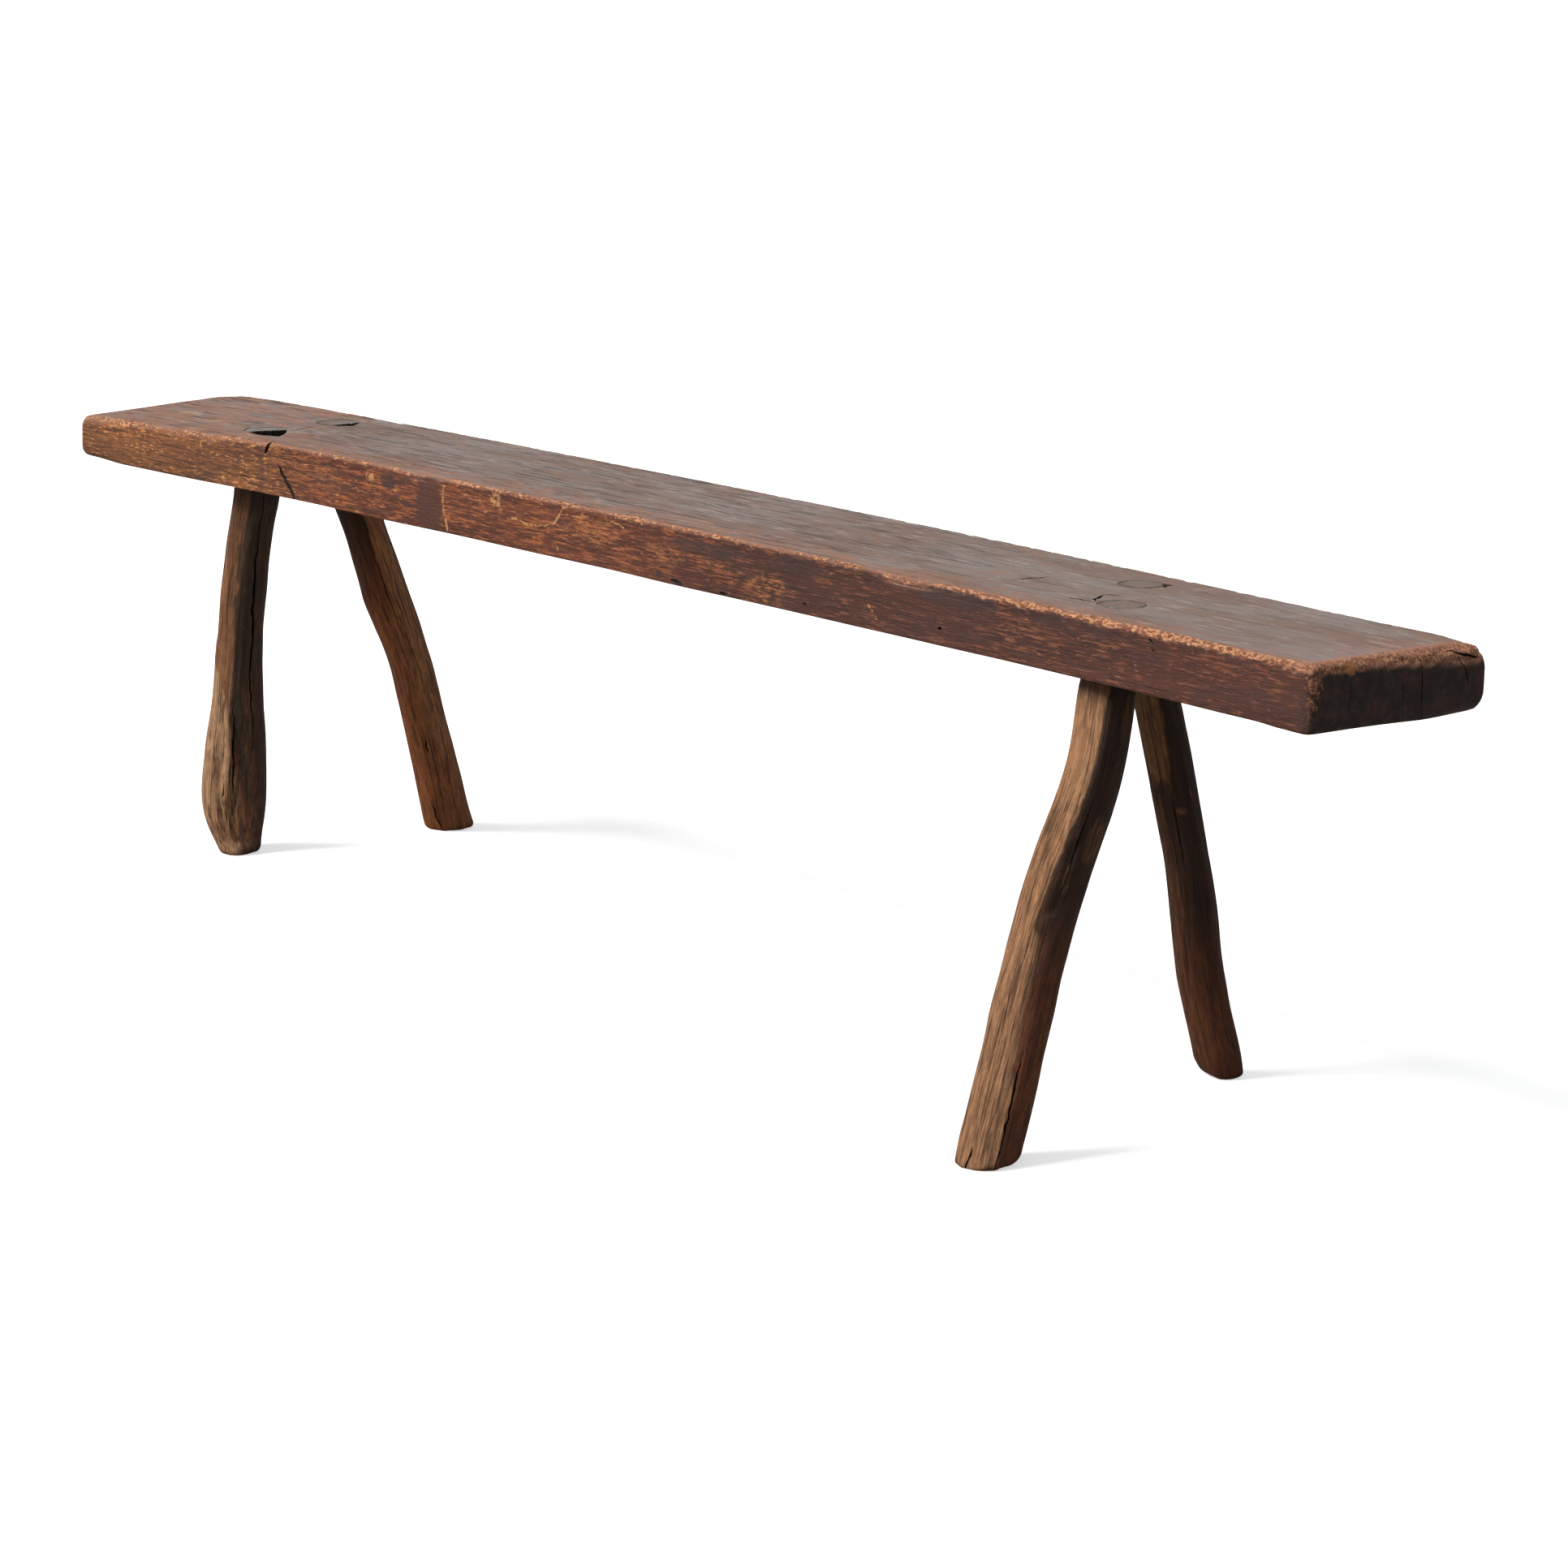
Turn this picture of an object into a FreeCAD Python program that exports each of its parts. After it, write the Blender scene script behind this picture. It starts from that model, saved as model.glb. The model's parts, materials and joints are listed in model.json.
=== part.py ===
import FreeCAD, Part
import Sketcher
import os

# Rustic staked bench: one thick hewn plank on four branch legs. Each leg is shaved to a round
# tenon, driven through a slanting socket in the plank and spread there by a wedge from above.
# Frame: +X along the seat, +Y to the back, +Z up, in millimetres. The origin lies on the
# floor, in the middle of the bench's footprint.

SIZES = {
    # Seat plank
    "seat_length": 1868,
    "seat_width": 199,
    "seat_thickness": 54.5,
    "seat_height": 452,
    "seat_crown": 4.5,
    "end_skew": 5,
    "corner_front_left": 9,
    "corner_front_right": 8,
    "corner_back_left": 40,
    "corner_back_right": 9,
    "top_arris": 5,
    "bottom_arris": 1,
    # The left end of the seat, worn down most at its front corner
    "wear_run": 360,
    "wear_front": 13,
    "wear_back": 1,
    # Nick in the front arris, drying check on the front face and check in the right end
    "nick_inset": 369,
    "nick_width": 6,
    "nick_depth": 11,
    "nick_height": 13,
    "front_check_inset": 391,
    "front_check_drop": 26,
    "front_check_run": 28,
    "front_check_fall": 28,
    "front_check_width": 2.5,
    "front_check_depth": 9,
    "end_check_offset": 44,
    "end_check_width": 2.5,
    "end_check_depth": 38,
    # How far cutting solids run past what they cut
    "overrun": 20,
    # Play of a tenon in its socket, and of a wedge in its slit
    "tenon_clearance": 0.2,
    "wedge_clearance": 0.1,
    # Wedges
    "wedge_head": 4.5,
    "wedge_tip": 1.2,
    "wedge_depth": 26,
    # Front left leg: its socket from the seat's end and edge, the slant of the tenon and of
    # the whole leg, and its thickness as a branch and as a tenon
    "front_left_inset": 278,
    "front_left_edge": 57,
    "front_left_lean_x": -12,
    "front_left_lean_y": -4,
    "front_left_splay_x": -8,
    "front_left_splay_y": -30,
    "front_left_girth": 48,
    "front_left_root": 46,
    "front_left_tenon": 44,
    # Back left leg
    "back_left_inset": 275,
    "back_left_edge": 50,
    "back_left_lean_x": -9,
    "back_left_lean_y": 15,
    "back_left_splay_x": 21,
    "back_left_splay_y": 130,
    "back_left_girth": 47,
    "back_left_root": 49,
    "back_left_tenon": 45,
    # Front right leg
    "front_right_inset": 290,
    "front_right_edge": 63,
    "front_right_lean_x": 11,
    "front_right_lean_y": -20,
    "front_right_splay_x": 36,
    "front_right_splay_y": -168,
    "front_right_girth": 52,
    "front_right_root": 48,
    "front_right_tenon": 42,
    # Back right leg
    "back_right_inset": 356,
    "back_right_edge": 53,
    "back_right_lean_x": -3,
    "back_right_lean_y": 12,
    "back_right_splay_x": 12,
    "back_right_splay_y": 103,
    "back_right_girth": 42,
    "back_right_root": 41,
    "back_right_tenon": 39,
}

# The run of each branch from its foot to the mouth of its socket. A row is the height as a
# share of that run, then, as shares of the girth, how far the middle strays from the straight
# line along X and Y, and how wide and how deep the branch is there, never deeper than wide.
BRANCH_SHARES = {
    "front_left": [
        (0.0, 0.0, 0.0, 0.91, 0.90),
        (0.06, -0.26, 0.02, 1.21, 1.06),
        (0.13, -0.41, 0.04, 1.42, 1.20),
        (0.22, -0.44, 0.04, 1.40, 1.20),
        (0.31, -0.41, 0.03, 1.28, 1.12),
        (0.42, -0.39, 0.00, 1.11, 1.03),
        (0.56, -0.36, -0.03, 1.02, 0.98),
        (0.72, -0.24, -0.04, 1.01, 0.96),
        (0.88, -0.09, -0.02, 0.99, 0.95),
    ],
    "back_left": [
        (0.0, -0.04, 0.0, 1.15, 0.98),
        (0.12, 0.03, 0.02, 1.10, 0.98),
        (0.24, 0.13, 0.03, 1.05, 0.97),
        (0.37, 0.25, 0.02, 1.01, 0.95),
        (0.49, 0.35, 0.00, 1.02, 0.95),
        (0.65, 0.20, -0.01, 1.12, 1.03),
        (0.75, 0.17, -0.02, 1.05, 1.00),
        (0.88, 0.06, -0.01, 1.04, 0.99),
    ],
    "front_right": [
        (0.0, 0.01, 0.0, 1.05, 0.97),
        (0.12, -0.03, 0.01, 1.05, 0.98),
        (0.25, -0.07, 0.02, 1.04, 0.97),
        (0.38, -0.10, 0.02, 1.04, 0.97),
        (0.51, -0.07, 0.01, 1.03, 0.96),
        (0.65, 0.05, -0.01, 1.05, 0.97),
        (0.78, 0.18, -0.01, 0.98, 0.95),
        (0.89, 0.13, -0.01, 0.97, 0.93),
    ],
    "back_right": [
        (0.0, 0.0, 0.0, 1.02, 0.97),
        (0.12, 0.0, -0.01, 1.04, 0.97),
        (0.24, -0.05, -0.01, 1.03, 0.98),
        (0.39, 0.06, 0.00, 1.03, 0.98),
        (0.50, 0.11, 0.01, 1.01, 0.96),
        (0.64, 0.09, 0.01, 1.03, 0.96),
        (0.78, 0.06, 0.01, 1.03, 0.97),
        (0.90, 0.01, 0.00, 1.02, 0.97),
    ],
}

# How far each branch's broad side is turned about the vertical from +X
BRANCH_TURN_DEGREES = {"front_left": 51, "back_left": 40, "front_right": 58, "back_right": 47}

doc = FreeCAD.newDocument("bench")
sheet = doc.addObject("Spreadsheet::Sheet", "sizes")
for row, (alias, size) in enumerate(SIZES.items(), 1):
    sheet.set(f"A{row}", alias)
    sheet.set(f"B{row}", str(size))
    sheet.setAlias(f"B{row}", alias)
doc.recompute()

# Expressions that several pieces share
HALF_LENGTH = "(sizes.seat_length / 2)"
HALF_WIDTH = "(sizes.seat_width / 2)"
CROWN_RADIUS = f"(({HALF_LENGTH}^2 + sizes.seat_crown^2) / (2 * sizes.seat_crown))"


def top_at(x):
    """Height of the crowned top, before wear, at a place along the seat."""
    return f"(sizes.seat_height - sizes.seat_crown * (({x}) / {HALF_LENGTH})^2)"


def bind(thing, expressions):
    """Tie properties of an object to the sheet and return the object."""
    for name, expression in expressions.items():
        thing.setExpression(name, expression)
    return thing


def value(expression):
    """The present value of an expression."""
    return float(sheet.evalExpression(expression))


def place(x, y, z):
    """Expressions for a position."""
    return {"Placement.Base.x": x, "Placement.Base.y": y, "Placement.Base.z": z}


def boolean(kind, name, base, tool):
    """A cut or a common of two solids."""
    feature = doc.addObject(f"Part::{kind}", name)
    feature.Base = base
    feature.Tool = tool
    return feature


def fuse(name, solids):
    """Several solids joined in one."""
    feature = doc.addObject("Part::MultiFuse", name)
    feature.Shapes = solids
    return feature


def loft(name, sections, ruled):
    """A solid through closed sections."""
    feature = doc.addObject("Part::Loft", name)
    feature.Sections = sections
    feature.Solid = True
    feature.Ruled = ruled
    return feature


def polygon(body, name, role, corners):
    """A closed outline on one of the body's base planes. Each corner is a pair of expressions."""
    plane = next(plane for plane in body.Origin.OriginFeatures if plane.Role == role)
    sketch = body.newObject("Sketcher::SketchObject", name)
    sketch.AttachmentSupport = (plane, "")
    sketch.MapMode = "FlatFace"
    spots = [[value(text) for text in corner] for corner in corners]
    for index, spot in enumerate(spots):
        following = spots[(index + 1) % len(spots)]
        sketch.addGeometry(Part.LineSegment(FreeCAD.Vector(*spot, 0), FreeCAD.Vector(*following, 0)))
    for index in range(len(spots)):
        following = (index + 1) % len(spots)
        sketch.addConstraint(Sketcher.Constraint("Coincident", index, 2, following, 1))
    for index, corner in enumerate(corners):
        for kind, text, distance in zip(("DistanceX", "DistanceY"), corner, spots[index]):
            number = sketch.addConstraint(Sketcher.Constraint(kind, -1, 1, index, 1, distance))
            sketch.setExpression(f"Constraints[{number}]", text)
    return sketch


def pad(body, name, outline, length):
    """A pad that grows by the same amount to both sides of its outline."""
    feature = body.newObject("PartDesign::Pad", name)
    feature.Profile = outline
    feature.SideType = "Symmetric"
    return bind(feature, {"Length": length})


def round_edges(body, name, base, chosen, radius):
    """Round those edges of a feature that the test picks out."""
    doc.recompute()
    names = [f"Edge{number}" for number, edge in enumerate(base.Shape.Edges, 1) if chosen(edge)]
    feature = body.newObject("PartDesign::Fillet", name)
    feature.Base = (base, names)
    return bind(feature, {"Radius": radius})


# Seat plank, plan: a long board whose right end is a little out of square, with its four
# corners rounded by wear.
def upright(left, front):
    """A test for the upright edge at one corner."""
    def test(edge):
        box = edge.BoundBox
        thin = max(box.XLength, box.YLength) < box.ZLength / 1000
        return thin and (box.Center.x < 0) == left and (box.Center.y < 0) == front
    return test


seat_plan = doc.addObject("PartDesign::Body", "seat_plan")
plan_outline = polygon(seat_plan, "plan_outline", "XY_Plane", [
    (f"-{HALF_LENGTH}", f"-{HALF_WIDTH}"),
    (f"{HALF_LENGTH} - sizes.end_skew", f"-{HALF_WIDTH}"),
    (HALF_LENGTH, HALF_WIDTH),
    (f"-{HALF_LENGTH}", HALF_WIDTH),
])
board = pad(seat_plan, "board", plan_outline, "2 * (sizes.seat_height + sizes.overrun)")
for corner, left, front in (("front_left", True, True), ("front_right", False, True),
                            ("back_left", True, False), ("back_right", False, False)):
    radius = f"sizes.corner_{corner}"
    board = round_edges(seat_plan, f"{corner}_corner", board, upright(left, front), radius)
seat_plan.Tip = board


# Seat plank, thickness: the top and the underside are both crowned along the length.
def crown(name, top):
    """A very large roller across the seat whose upper side is one crowned surface."""
    roller = doc.addObject("Part::Cylinder", name)
    roller.Placement.Rotation = FreeCAD.Rotation(FreeCAD.Vector(1, 0, 0), 90)
    bind(roller, {"Radius": CROWN_RADIUS, "Height": "sizes.seat_width + 2 * sizes.overrun"})
    return bind(roller, place("0", f"{HALF_WIDTH} + sizes.overrun", f"{top} - {CROWN_RADIUS}"))


crown_above = crown("crown_above", "sizes.seat_height")
crown_below = crown("crown_below", "sizes.seat_height - sizes.seat_thickness")
below_top = boolean("Common", "below_top", seat_plan, crown_above)
crowned_plank = boolean("Cut", "crowned_plank", below_top, crown_below)

# Seat plank, wear: towards the left end the top falls away, most at the front corner.
worn_end = doc.addObject("PartDesign::Body", "worn_end")
worn_profiles = []
for side, depth, other in (("front", "sizes.wear_front", "sizes.wear_back"),
                           ("back", "sizes.wear_back", "sizes.wear_front")):
    crease = f"(sizes.wear_run - {HALF_LENGTH})"
    beyond = f"(-{HALF_LENGTH} - sizes.overrun)"
    drop = f"({depth} + ({depth} - {other}) * sizes.overrun / sizes.seat_width)"
    fall = f"({drop} * (1 + sizes.overrun / sizes.wear_run))"
    profile = polygon(worn_end, f"{side}_wear", "XZ_Plane", [
        (crease, top_at(crease)),
        (beyond, "sizes.seat_height + sizes.overrun"),
        (beyond, f"{top_at(HALF_LENGTH)} - {fall}"),
    ])
    reach = f"{HALF_WIDTH} + sizes.overrun"
    bind(profile, {"AttachmentOffset.Base.z": reach if side == "front" else f"-({reach})"})
    worn_profiles.append(profile)
worn_away = worn_end.newObject("PartDesign::AdditiveLoft", "worn_away")
worn_away.Profile = worn_profiles[0]
worn_away.Sections = worn_profiles[1:]
worn_away.Ruled = True
worn_end.Tip = worn_away
worn_plank = boolean("Cut", "worn_plank", crowned_plank, worn_end)


# Seat plank, arrises: the upper one rounded by use, the lower one nearly as it was hewn.
def arris(upper):
    """A test for the edges round the top or round the underside, without the crease of the wear."""
    middle = value("sizes.seat_height - sizes.seat_thickness / 2")
    inner_x = value(f"{HALF_LENGTH} - sizes.wear_run / 2")
    inner_y = value(f"{HALF_WIDTH} / 2")

    def test(edge):
        box = edge.BoundBox
        level = box.ZMin > middle if upper else box.ZMax < middle
        crease = abs(box.Center.x) < inner_x and abs(box.Center.y) < inner_y
        return level and not crease
    return test


rounded_plank = doc.addObject("PartDesign::Body", "rounded_plank")
rounded_plank.BaseFeature = worn_plank
doc.recompute()
rounding = round_edges(rounded_plank, "upper_arris", rounded_plank.Tip, arris(True), "sizes.top_arris")
rounding = round_edges(rounded_plank, "lower_arris", rounding, arris(False), "sizes.bottom_arris")
rounded_plank.Tip = rounding


# Sockets and tenons: both are slanting tapered rounds on the same line, the socket wider by
# the play and longer at both ends.
def socket_at(leg):
    """Expressions for the middle of a socket at the top of the seat."""
    end = f"({HALF_LENGTH} - sizes.{leg}_inset)"
    side = f"({HALF_WIDTH} - sizes.{leg}_edge)"
    return (f"-{end}" if "left" in leg else end), (f"-{side}" if "front" in leg else side)


def ring(name, turn, size, x, y, z):
    """A level circle."""
    feature = doc.addObject("Part::Circle", name)
    feature.Placement.Rotation = FreeCAD.Rotation(FreeCAD.Vector(0, 0, 1), turn)
    bind(feature, {"Radius": f"({size}) / 2"})
    return bind(feature, place(x, y, z))


def tapered_round(leg, name, low, high, play):
    """A solid along a tenon. low and high are how far it runs below the mouth and above the top."""
    x, y = socket_at(leg)
    top = top_at(x)
    rings = []
    for level, along in (("low", f"(1 + ({low}) / sizes.seat_thickness)"),
                         ("high", f"(-({high}) / sizes.seat_thickness)")):
        size = f"sizes.{leg}_tenon + (sizes.{leg}_root - sizes.{leg}_tenon) * {along} + 2 * ({play})"
        rings.append(ring(
            f"{leg}_{name}_{level}", BRANCH_TURN_DEGREES[leg], size,
            f"{x} + sizes.{leg}_lean_x * {along}",
            f"{y} + sizes.{leg}_lean_y * {along}",
            f"{top} - sizes.seat_thickness * {along}",
        ))
    return loft(f"{leg}_{name}", rings, True)


# Everything over the top of the plank, which cuts the tenons flush with it
slab = doc.addObject("Part::Box", "slab")
bind(slab, {
    "Length": "sizes.seat_length + 2 * sizes.overrun",
    "Width": "sizes.seat_width + 2 * sizes.overrun",
    "Height": "sizes.seat_thickness / 2 + 2 * sizes.overrun",
})
bind(slab, place(
    f"-{HALF_LENGTH} - sizes.overrun",
    f"-{HALF_WIDTH} - sizes.overrun",
    "sizes.seat_height - sizes.seat_thickness / 2",
))
above_seat = boolean("Cut", "above_seat", slab, worn_plank)


# Legs: a crooked branch from the foot to the socket's mouth, then the shaved tenon.
def branch(leg):
    """The natural part of a leg, as a solid through oval sections."""
    x, y = socket_at(leg)
    mouth_x = f"({x} + sizes.{leg}_lean_x)"
    mouth_y = f"({y} + sizes.{leg}_lean_y)"
    mouth_z = f"({top_at(x)} - sizes.seat_thickness)"
    foot_x = f"({x} + sizes.{leg}_splay_x)"
    foot_y = f"({y} + sizes.{leg}_splay_y)"
    girth = f"sizes.{leg}_girth"
    sections = []
    for number, (up, stray_x, stray_y, wide, deep) in enumerate(BRANCH_SHARES[leg]):
        oval = doc.addObject("Part::Ellipse", f"{leg}_oval_{number}")
        oval.Placement.Rotation = FreeCAD.Rotation(FreeCAD.Vector(0, 0, 1), BRANCH_TURN_DEGREES[leg])
        bind(oval, {"MajorRadius": f"{girth} * {wide} / 2", "MinorRadius": f"{girth} * {deep} / 2"})
        bind(oval, place(
            f"{foot_x} + ({mouth_x} - {foot_x}) * {up} + {girth} * {stray_x}",
            f"{foot_y} + ({mouth_y} - {foot_y}) * {up} + {girth} * {stray_y}",
            f"{mouth_z} * {up}",
        ))
        sections.append(oval)
    sections.append(ring(f"{leg}_neck", BRANCH_TURN_DEGREES[leg], f"sizes.{leg}_root", mouth_x, mouth_y, mouth_z))
    return loft(f"{leg}_branch", sections, False)


def wedge_shape(leg, name, play):
    """A taper that splits the tenon across the grain of the seat and follows the tenon's slant."""
    x, y = socket_at(leg)
    lean = f"sizes.{leg}_lean_x / sizes.seat_thickness"
    widening = "(sizes.wedge_head - sizes.wedge_tip) / sizes.wedge_depth"
    high = "sizes.overrun"
    low = f"(sizes.wedge_depth + ({play}))"
    half_high = f"((sizes.wedge_head + {widening} * {high}) / 2 + ({play}))"
    half_low = f"(sizes.wedge_tip / 2 + ({play}))"
    body = doc.addObject("PartDesign::Body", f"{leg}_{name}")
    profile = polygon(body, f"{leg}_{name}_profile", "XZ_Plane", [
        (f"{lean} * {low} - {half_low}", f"-{low}"),
        (f"{lean} * {low} + {half_low}", f"-{low}"),
        (f"-{lean} * {high} + {half_high}", high),
        (f"-{lean} * {high} - {half_high}", high),
    ])
    body.Tip = pad(body, f"{leg}_{name}_pad", profile, f"2 * sizes.{leg}_root")
    return bind(body, place(x, y, top_at(x)))


pieces = {}
sockets = []
for leg in BRANCH_SHARES:
    sockets.append(tapered_round(leg, "socket", "sizes.overrun", "sizes.overrun", "sizes.tenon_clearance"))
    rough_tenon = tapered_round(leg, "rough_tenon", "0", "sizes.overrun", "0")
    tenon = boolean("Cut", f"{leg}_tenon", rough_tenon, above_seat)
    driven_leg = fuse(f"{leg}_driven_leg", [branch(leg), tenon])
    pieces[f"leg_{leg}"] = boolean(
        "Cut", f"leg_{leg}", driven_leg, wedge_shape(leg, "slit", "sizes.wedge_clearance"))
    pieces[f"wedge_{leg}"] = boolean("Common", f"wedge_{leg}", wedge_shape(leg, "taper", "0"), tenon)


# Damage to the plank: a nick in the front arris, a slanting drying check below it on the front
# face, and a check down the right end.
def gash(name, length, width, height, x, y, z):
    """A straight-sided cut."""
    feature = doc.addObject("Part::Box", name)
    bind(feature, {"Length": length, "Width": width, "Height": height})
    return bind(feature, place(x, y, z))


nick_x = f"(sizes.nick_inset - {HALF_LENGTH})"
nick = gash(
    "nick", "sizes.nick_width", "sizes.nick_depth + sizes.overrun", "sizes.nick_height + sizes.overrun",
    f"{nick_x} - sizes.nick_width / 2",
    f"-{HALF_WIDTH} - sizes.overrun",
    f"{top_at(nick_x)} - sizes.nick_height",
)
front_check = gash(
    "front_check", "sqrt(sizes.front_check_run^2 + sizes.front_check_fall^2)",
    "sizes.front_check_depth + sizes.overrun", "sizes.front_check_width",
    f"sizes.front_check_inset - {HALF_LENGTH}",
    f"-{HALF_WIDTH} - sizes.overrun",
    "sizes.seat_height - sizes.front_check_drop",
)
slant = "atan(sizes.front_check_fall / sizes.front_check_run)"
front_check.Placement.Rotation = FreeCAD.Rotation(FreeCAD.Vector(0, 1, 0), value(slant))
bind(front_check, {"Placement.Rotation.Angle": slant})
end_check = gash(
    "end_check", "sizes.end_check_depth + sizes.overrun", "sizes.end_check_width",
    "sizes.seat_thickness + 2 * sizes.overrun",
    f"{HALF_LENGTH} - sizes.end_check_depth",
    "sizes.end_check_offset - sizes.end_check_width / 2",
    "sizes.seat_height - sizes.seat_thickness - sizes.overrun",
)
damage = fuse("sockets_and_damage", sockets + [nick, front_check, end_check])
pieces["seat_plank"] = boolean("Cut", "seat_plank", rounded_plank, damage)
doc.recompute()

for thing in doc.Objects:
    if "Invalid" in thing.State or "Error" in thing.State:
        raise SystemExit(f"{thing.Name} could not be built: {thing.State}")

# The whole bench moves so that the origin lies in the middle of its footprint.
whole = FreeCAD.BoundBox()
for piece in pieces.values():
    whole.add(piece.Shape.optimalBoundingBox())
shift = FreeCAD.Vector(-whole.Center.x, -whole.Center.y, 0)
for name, piece in pieces.items():
    piece.Label = name
    piece.Placement = FreeCAD.Placement(shift, FreeCAD.Rotation())
doc.recompute()

for name, piece in pieces.items():
    if piece.Shape.isNull() or not piece.Shape.isValid() or len(piece.Shape.Solids) != 1:
        raise SystemExit(f"{name} is not one sound solid")

os.makedirs("parts", exist_ok=True)
for name, piece in pieces.items():
    piece.Shape.exportStep(f"parts/{piece.Label}.step")
    print(f"{name}: {piece.Shape.Volume / 1000:.1f} cm3")
print(f"moved by {shift.x:.3f}, {shift.y:.3f}")
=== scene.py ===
import json
import math

import bmesh
import bpy
import numpy as np
from mathutils import Matrix, Vector
from mathutils.bvhtree import BVHTree
from mathutils.kdtree import KDTree


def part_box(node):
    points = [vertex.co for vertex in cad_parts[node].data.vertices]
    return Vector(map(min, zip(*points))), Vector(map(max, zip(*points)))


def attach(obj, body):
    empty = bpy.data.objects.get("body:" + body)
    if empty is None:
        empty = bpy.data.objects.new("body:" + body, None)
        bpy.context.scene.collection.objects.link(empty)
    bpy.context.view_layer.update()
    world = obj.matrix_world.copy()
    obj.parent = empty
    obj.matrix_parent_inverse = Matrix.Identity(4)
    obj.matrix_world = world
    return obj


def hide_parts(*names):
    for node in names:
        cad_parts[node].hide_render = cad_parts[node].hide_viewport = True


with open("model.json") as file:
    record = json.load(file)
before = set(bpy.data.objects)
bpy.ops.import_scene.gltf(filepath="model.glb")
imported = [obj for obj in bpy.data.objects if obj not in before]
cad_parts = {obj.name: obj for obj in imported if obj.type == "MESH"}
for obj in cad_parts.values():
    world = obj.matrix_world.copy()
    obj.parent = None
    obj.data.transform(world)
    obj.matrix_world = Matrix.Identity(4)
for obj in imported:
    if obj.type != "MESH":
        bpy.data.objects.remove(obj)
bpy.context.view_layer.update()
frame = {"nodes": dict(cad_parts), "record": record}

# Seat plank: one hewn hardwood plank, a little crowned along its length, stained red brown
# long ago, greyed on top by weather and sitting, and worn to bare wood along its upper edges.
# Its left end is worn down, its right end is open end grain, and four sockets pass through it.
plank_low, plank_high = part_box("seat_plank")
HALF_LENGTH = (plank_high.x - plank_low.x) / 2
HALF_WIDTH = (plank_high.y - plank_low.y) / 2
PLANK_MIDDLE = np.array([(plank_low.x + plank_high.x) / 2, (plank_low.y + plank_high.y) / 2])
THICKNESS = 0.0545
CROWN = 0.0043
END_SKEW = 0.005
UNDER_DROP = 0.003
WEAR_RUN = 0.36
WEAR_FRONT = 0.0112
WEAR_BACK = 0.001
# The step in the top starts at the nick and slants to the left by this share of its way back
STEP_SLANT = 0.22
NICK_X = -0.565
ARRIS_BAND = 0.022
HOLLOW_DEPTH = 0.0026
# Radii of the front and the back corner at each end, seen from above
CORNER_RADII = {"left": (0.004, 0.04), "right": (0.009, 0.006)}


def rise(value, low, high):
    """0 below low, 1 above high, and a smooth slope between them."""
    share = np.clip((value - low) / (high - low), 0, 1)
    return share * share * (3 - 2 * share)


def blend(low, high, share):
    """A value between two others."""
    return low + (high - low) * share


def lumps(places, size, seed):
    """Smooth random swells from -1 to 1. size is how long a swell is along each axis."""
    cells = np.asarray(places) / np.broadcast_to(size, 3)
    corner = np.floor(cells).astype(np.int64)
    inside = cells - corner
    inside = inside * inside * (3 - 2 * inside)
    total = np.zeros(len(cells))
    for step in np.ndindex(2, 2, 2):
        spot = corner + step
        mixed = spot[:, 0] * 73856093 ^ spot[:, 1] * 19349663 ^ spot[:, 2] * 83492791 ^ seed * 2654435761
        mixed = (mixed ^ (mixed >> 13)) * 1274126177 & 0xFFFFFFFF
        mixed ^= mixed >> 16
        share = np.prod(np.where(step, inside, 1 - inside), axis=1)
        total += share * (mixed / 0x7FFFFFFF - 1)
    return total


def stations(start, end, coarse, fine, spots):
    """Places along an edge, closer together near the spots. A spot is a place and its reach."""
    walk = np.linspace(start, end, 4001)
    nearness = np.zeros_like(walk)
    for place, reach in spots:
        nearness = np.maximum(nearness, np.exp(-(((walk - place) / reach) ** 2)))
    crowd = 1 / coarse + (1 / fine - 1 / coarse) * nearness
    count = np.concatenate([[0], np.cumsum((crowd[1:] + crowd[:-1]) / 2 * np.diff(walk))])
    return np.interp(np.linspace(0, count[-1], int(count[-1]) + 2), count, walk)


def box_skin(xs, ys, zs):
    """Points and faces of a closed box whose six sides are divided at the stations."""
    shape = (len(xs), len(ys), len(zs))
    i, j, k = np.indices(shape)
    shell = np.zeros(shape, bool)
    for number, count in zip((i, j, k), shape):
        shell |= (number == 0) | (number == count - 1)
    index = np.full(shape, -1)
    index[shell] = np.arange(shell.sum())
    points = np.stack([xs[i[shell]], ys[j[shell]], zs[k[shell]]], axis=1)
    faces = []
    for axis in range(3):
        for side in (0, -1):
            sheet = index.take(side, axis)
            quads = np.stack([sheet[:-1, :-1], sheet[1:, :-1], sheet[1:, 1:], sheet[:-1, 1:]], axis=-1)
            quads = quads.reshape(-1, 4)
            faces.append(quads[:, ::-1] if (side == 0) != (axis == 1) else quads)
    return points, np.concatenate(faces)


def make_mesh(name, points, faces):
    """A mesh object of these points and faces."""
    mesh = bpy.data.meshes.new(name)
    mesh.from_pydata(points.tolist(), [], faces.tolist() if isinstance(faces, np.ndarray) else faces)
    mesh.update()
    piece = bpy.data.objects.new(name, mesh)
    bpy.context.scene.collection.objects.link(piece)
    return piece


def surface(piece):
    """The faces of a piece, ready for rays and for the nearest place on them."""
    return BVHTree.FromObject(piece, bpy.context.evaluated_depsgraph_get())


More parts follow.
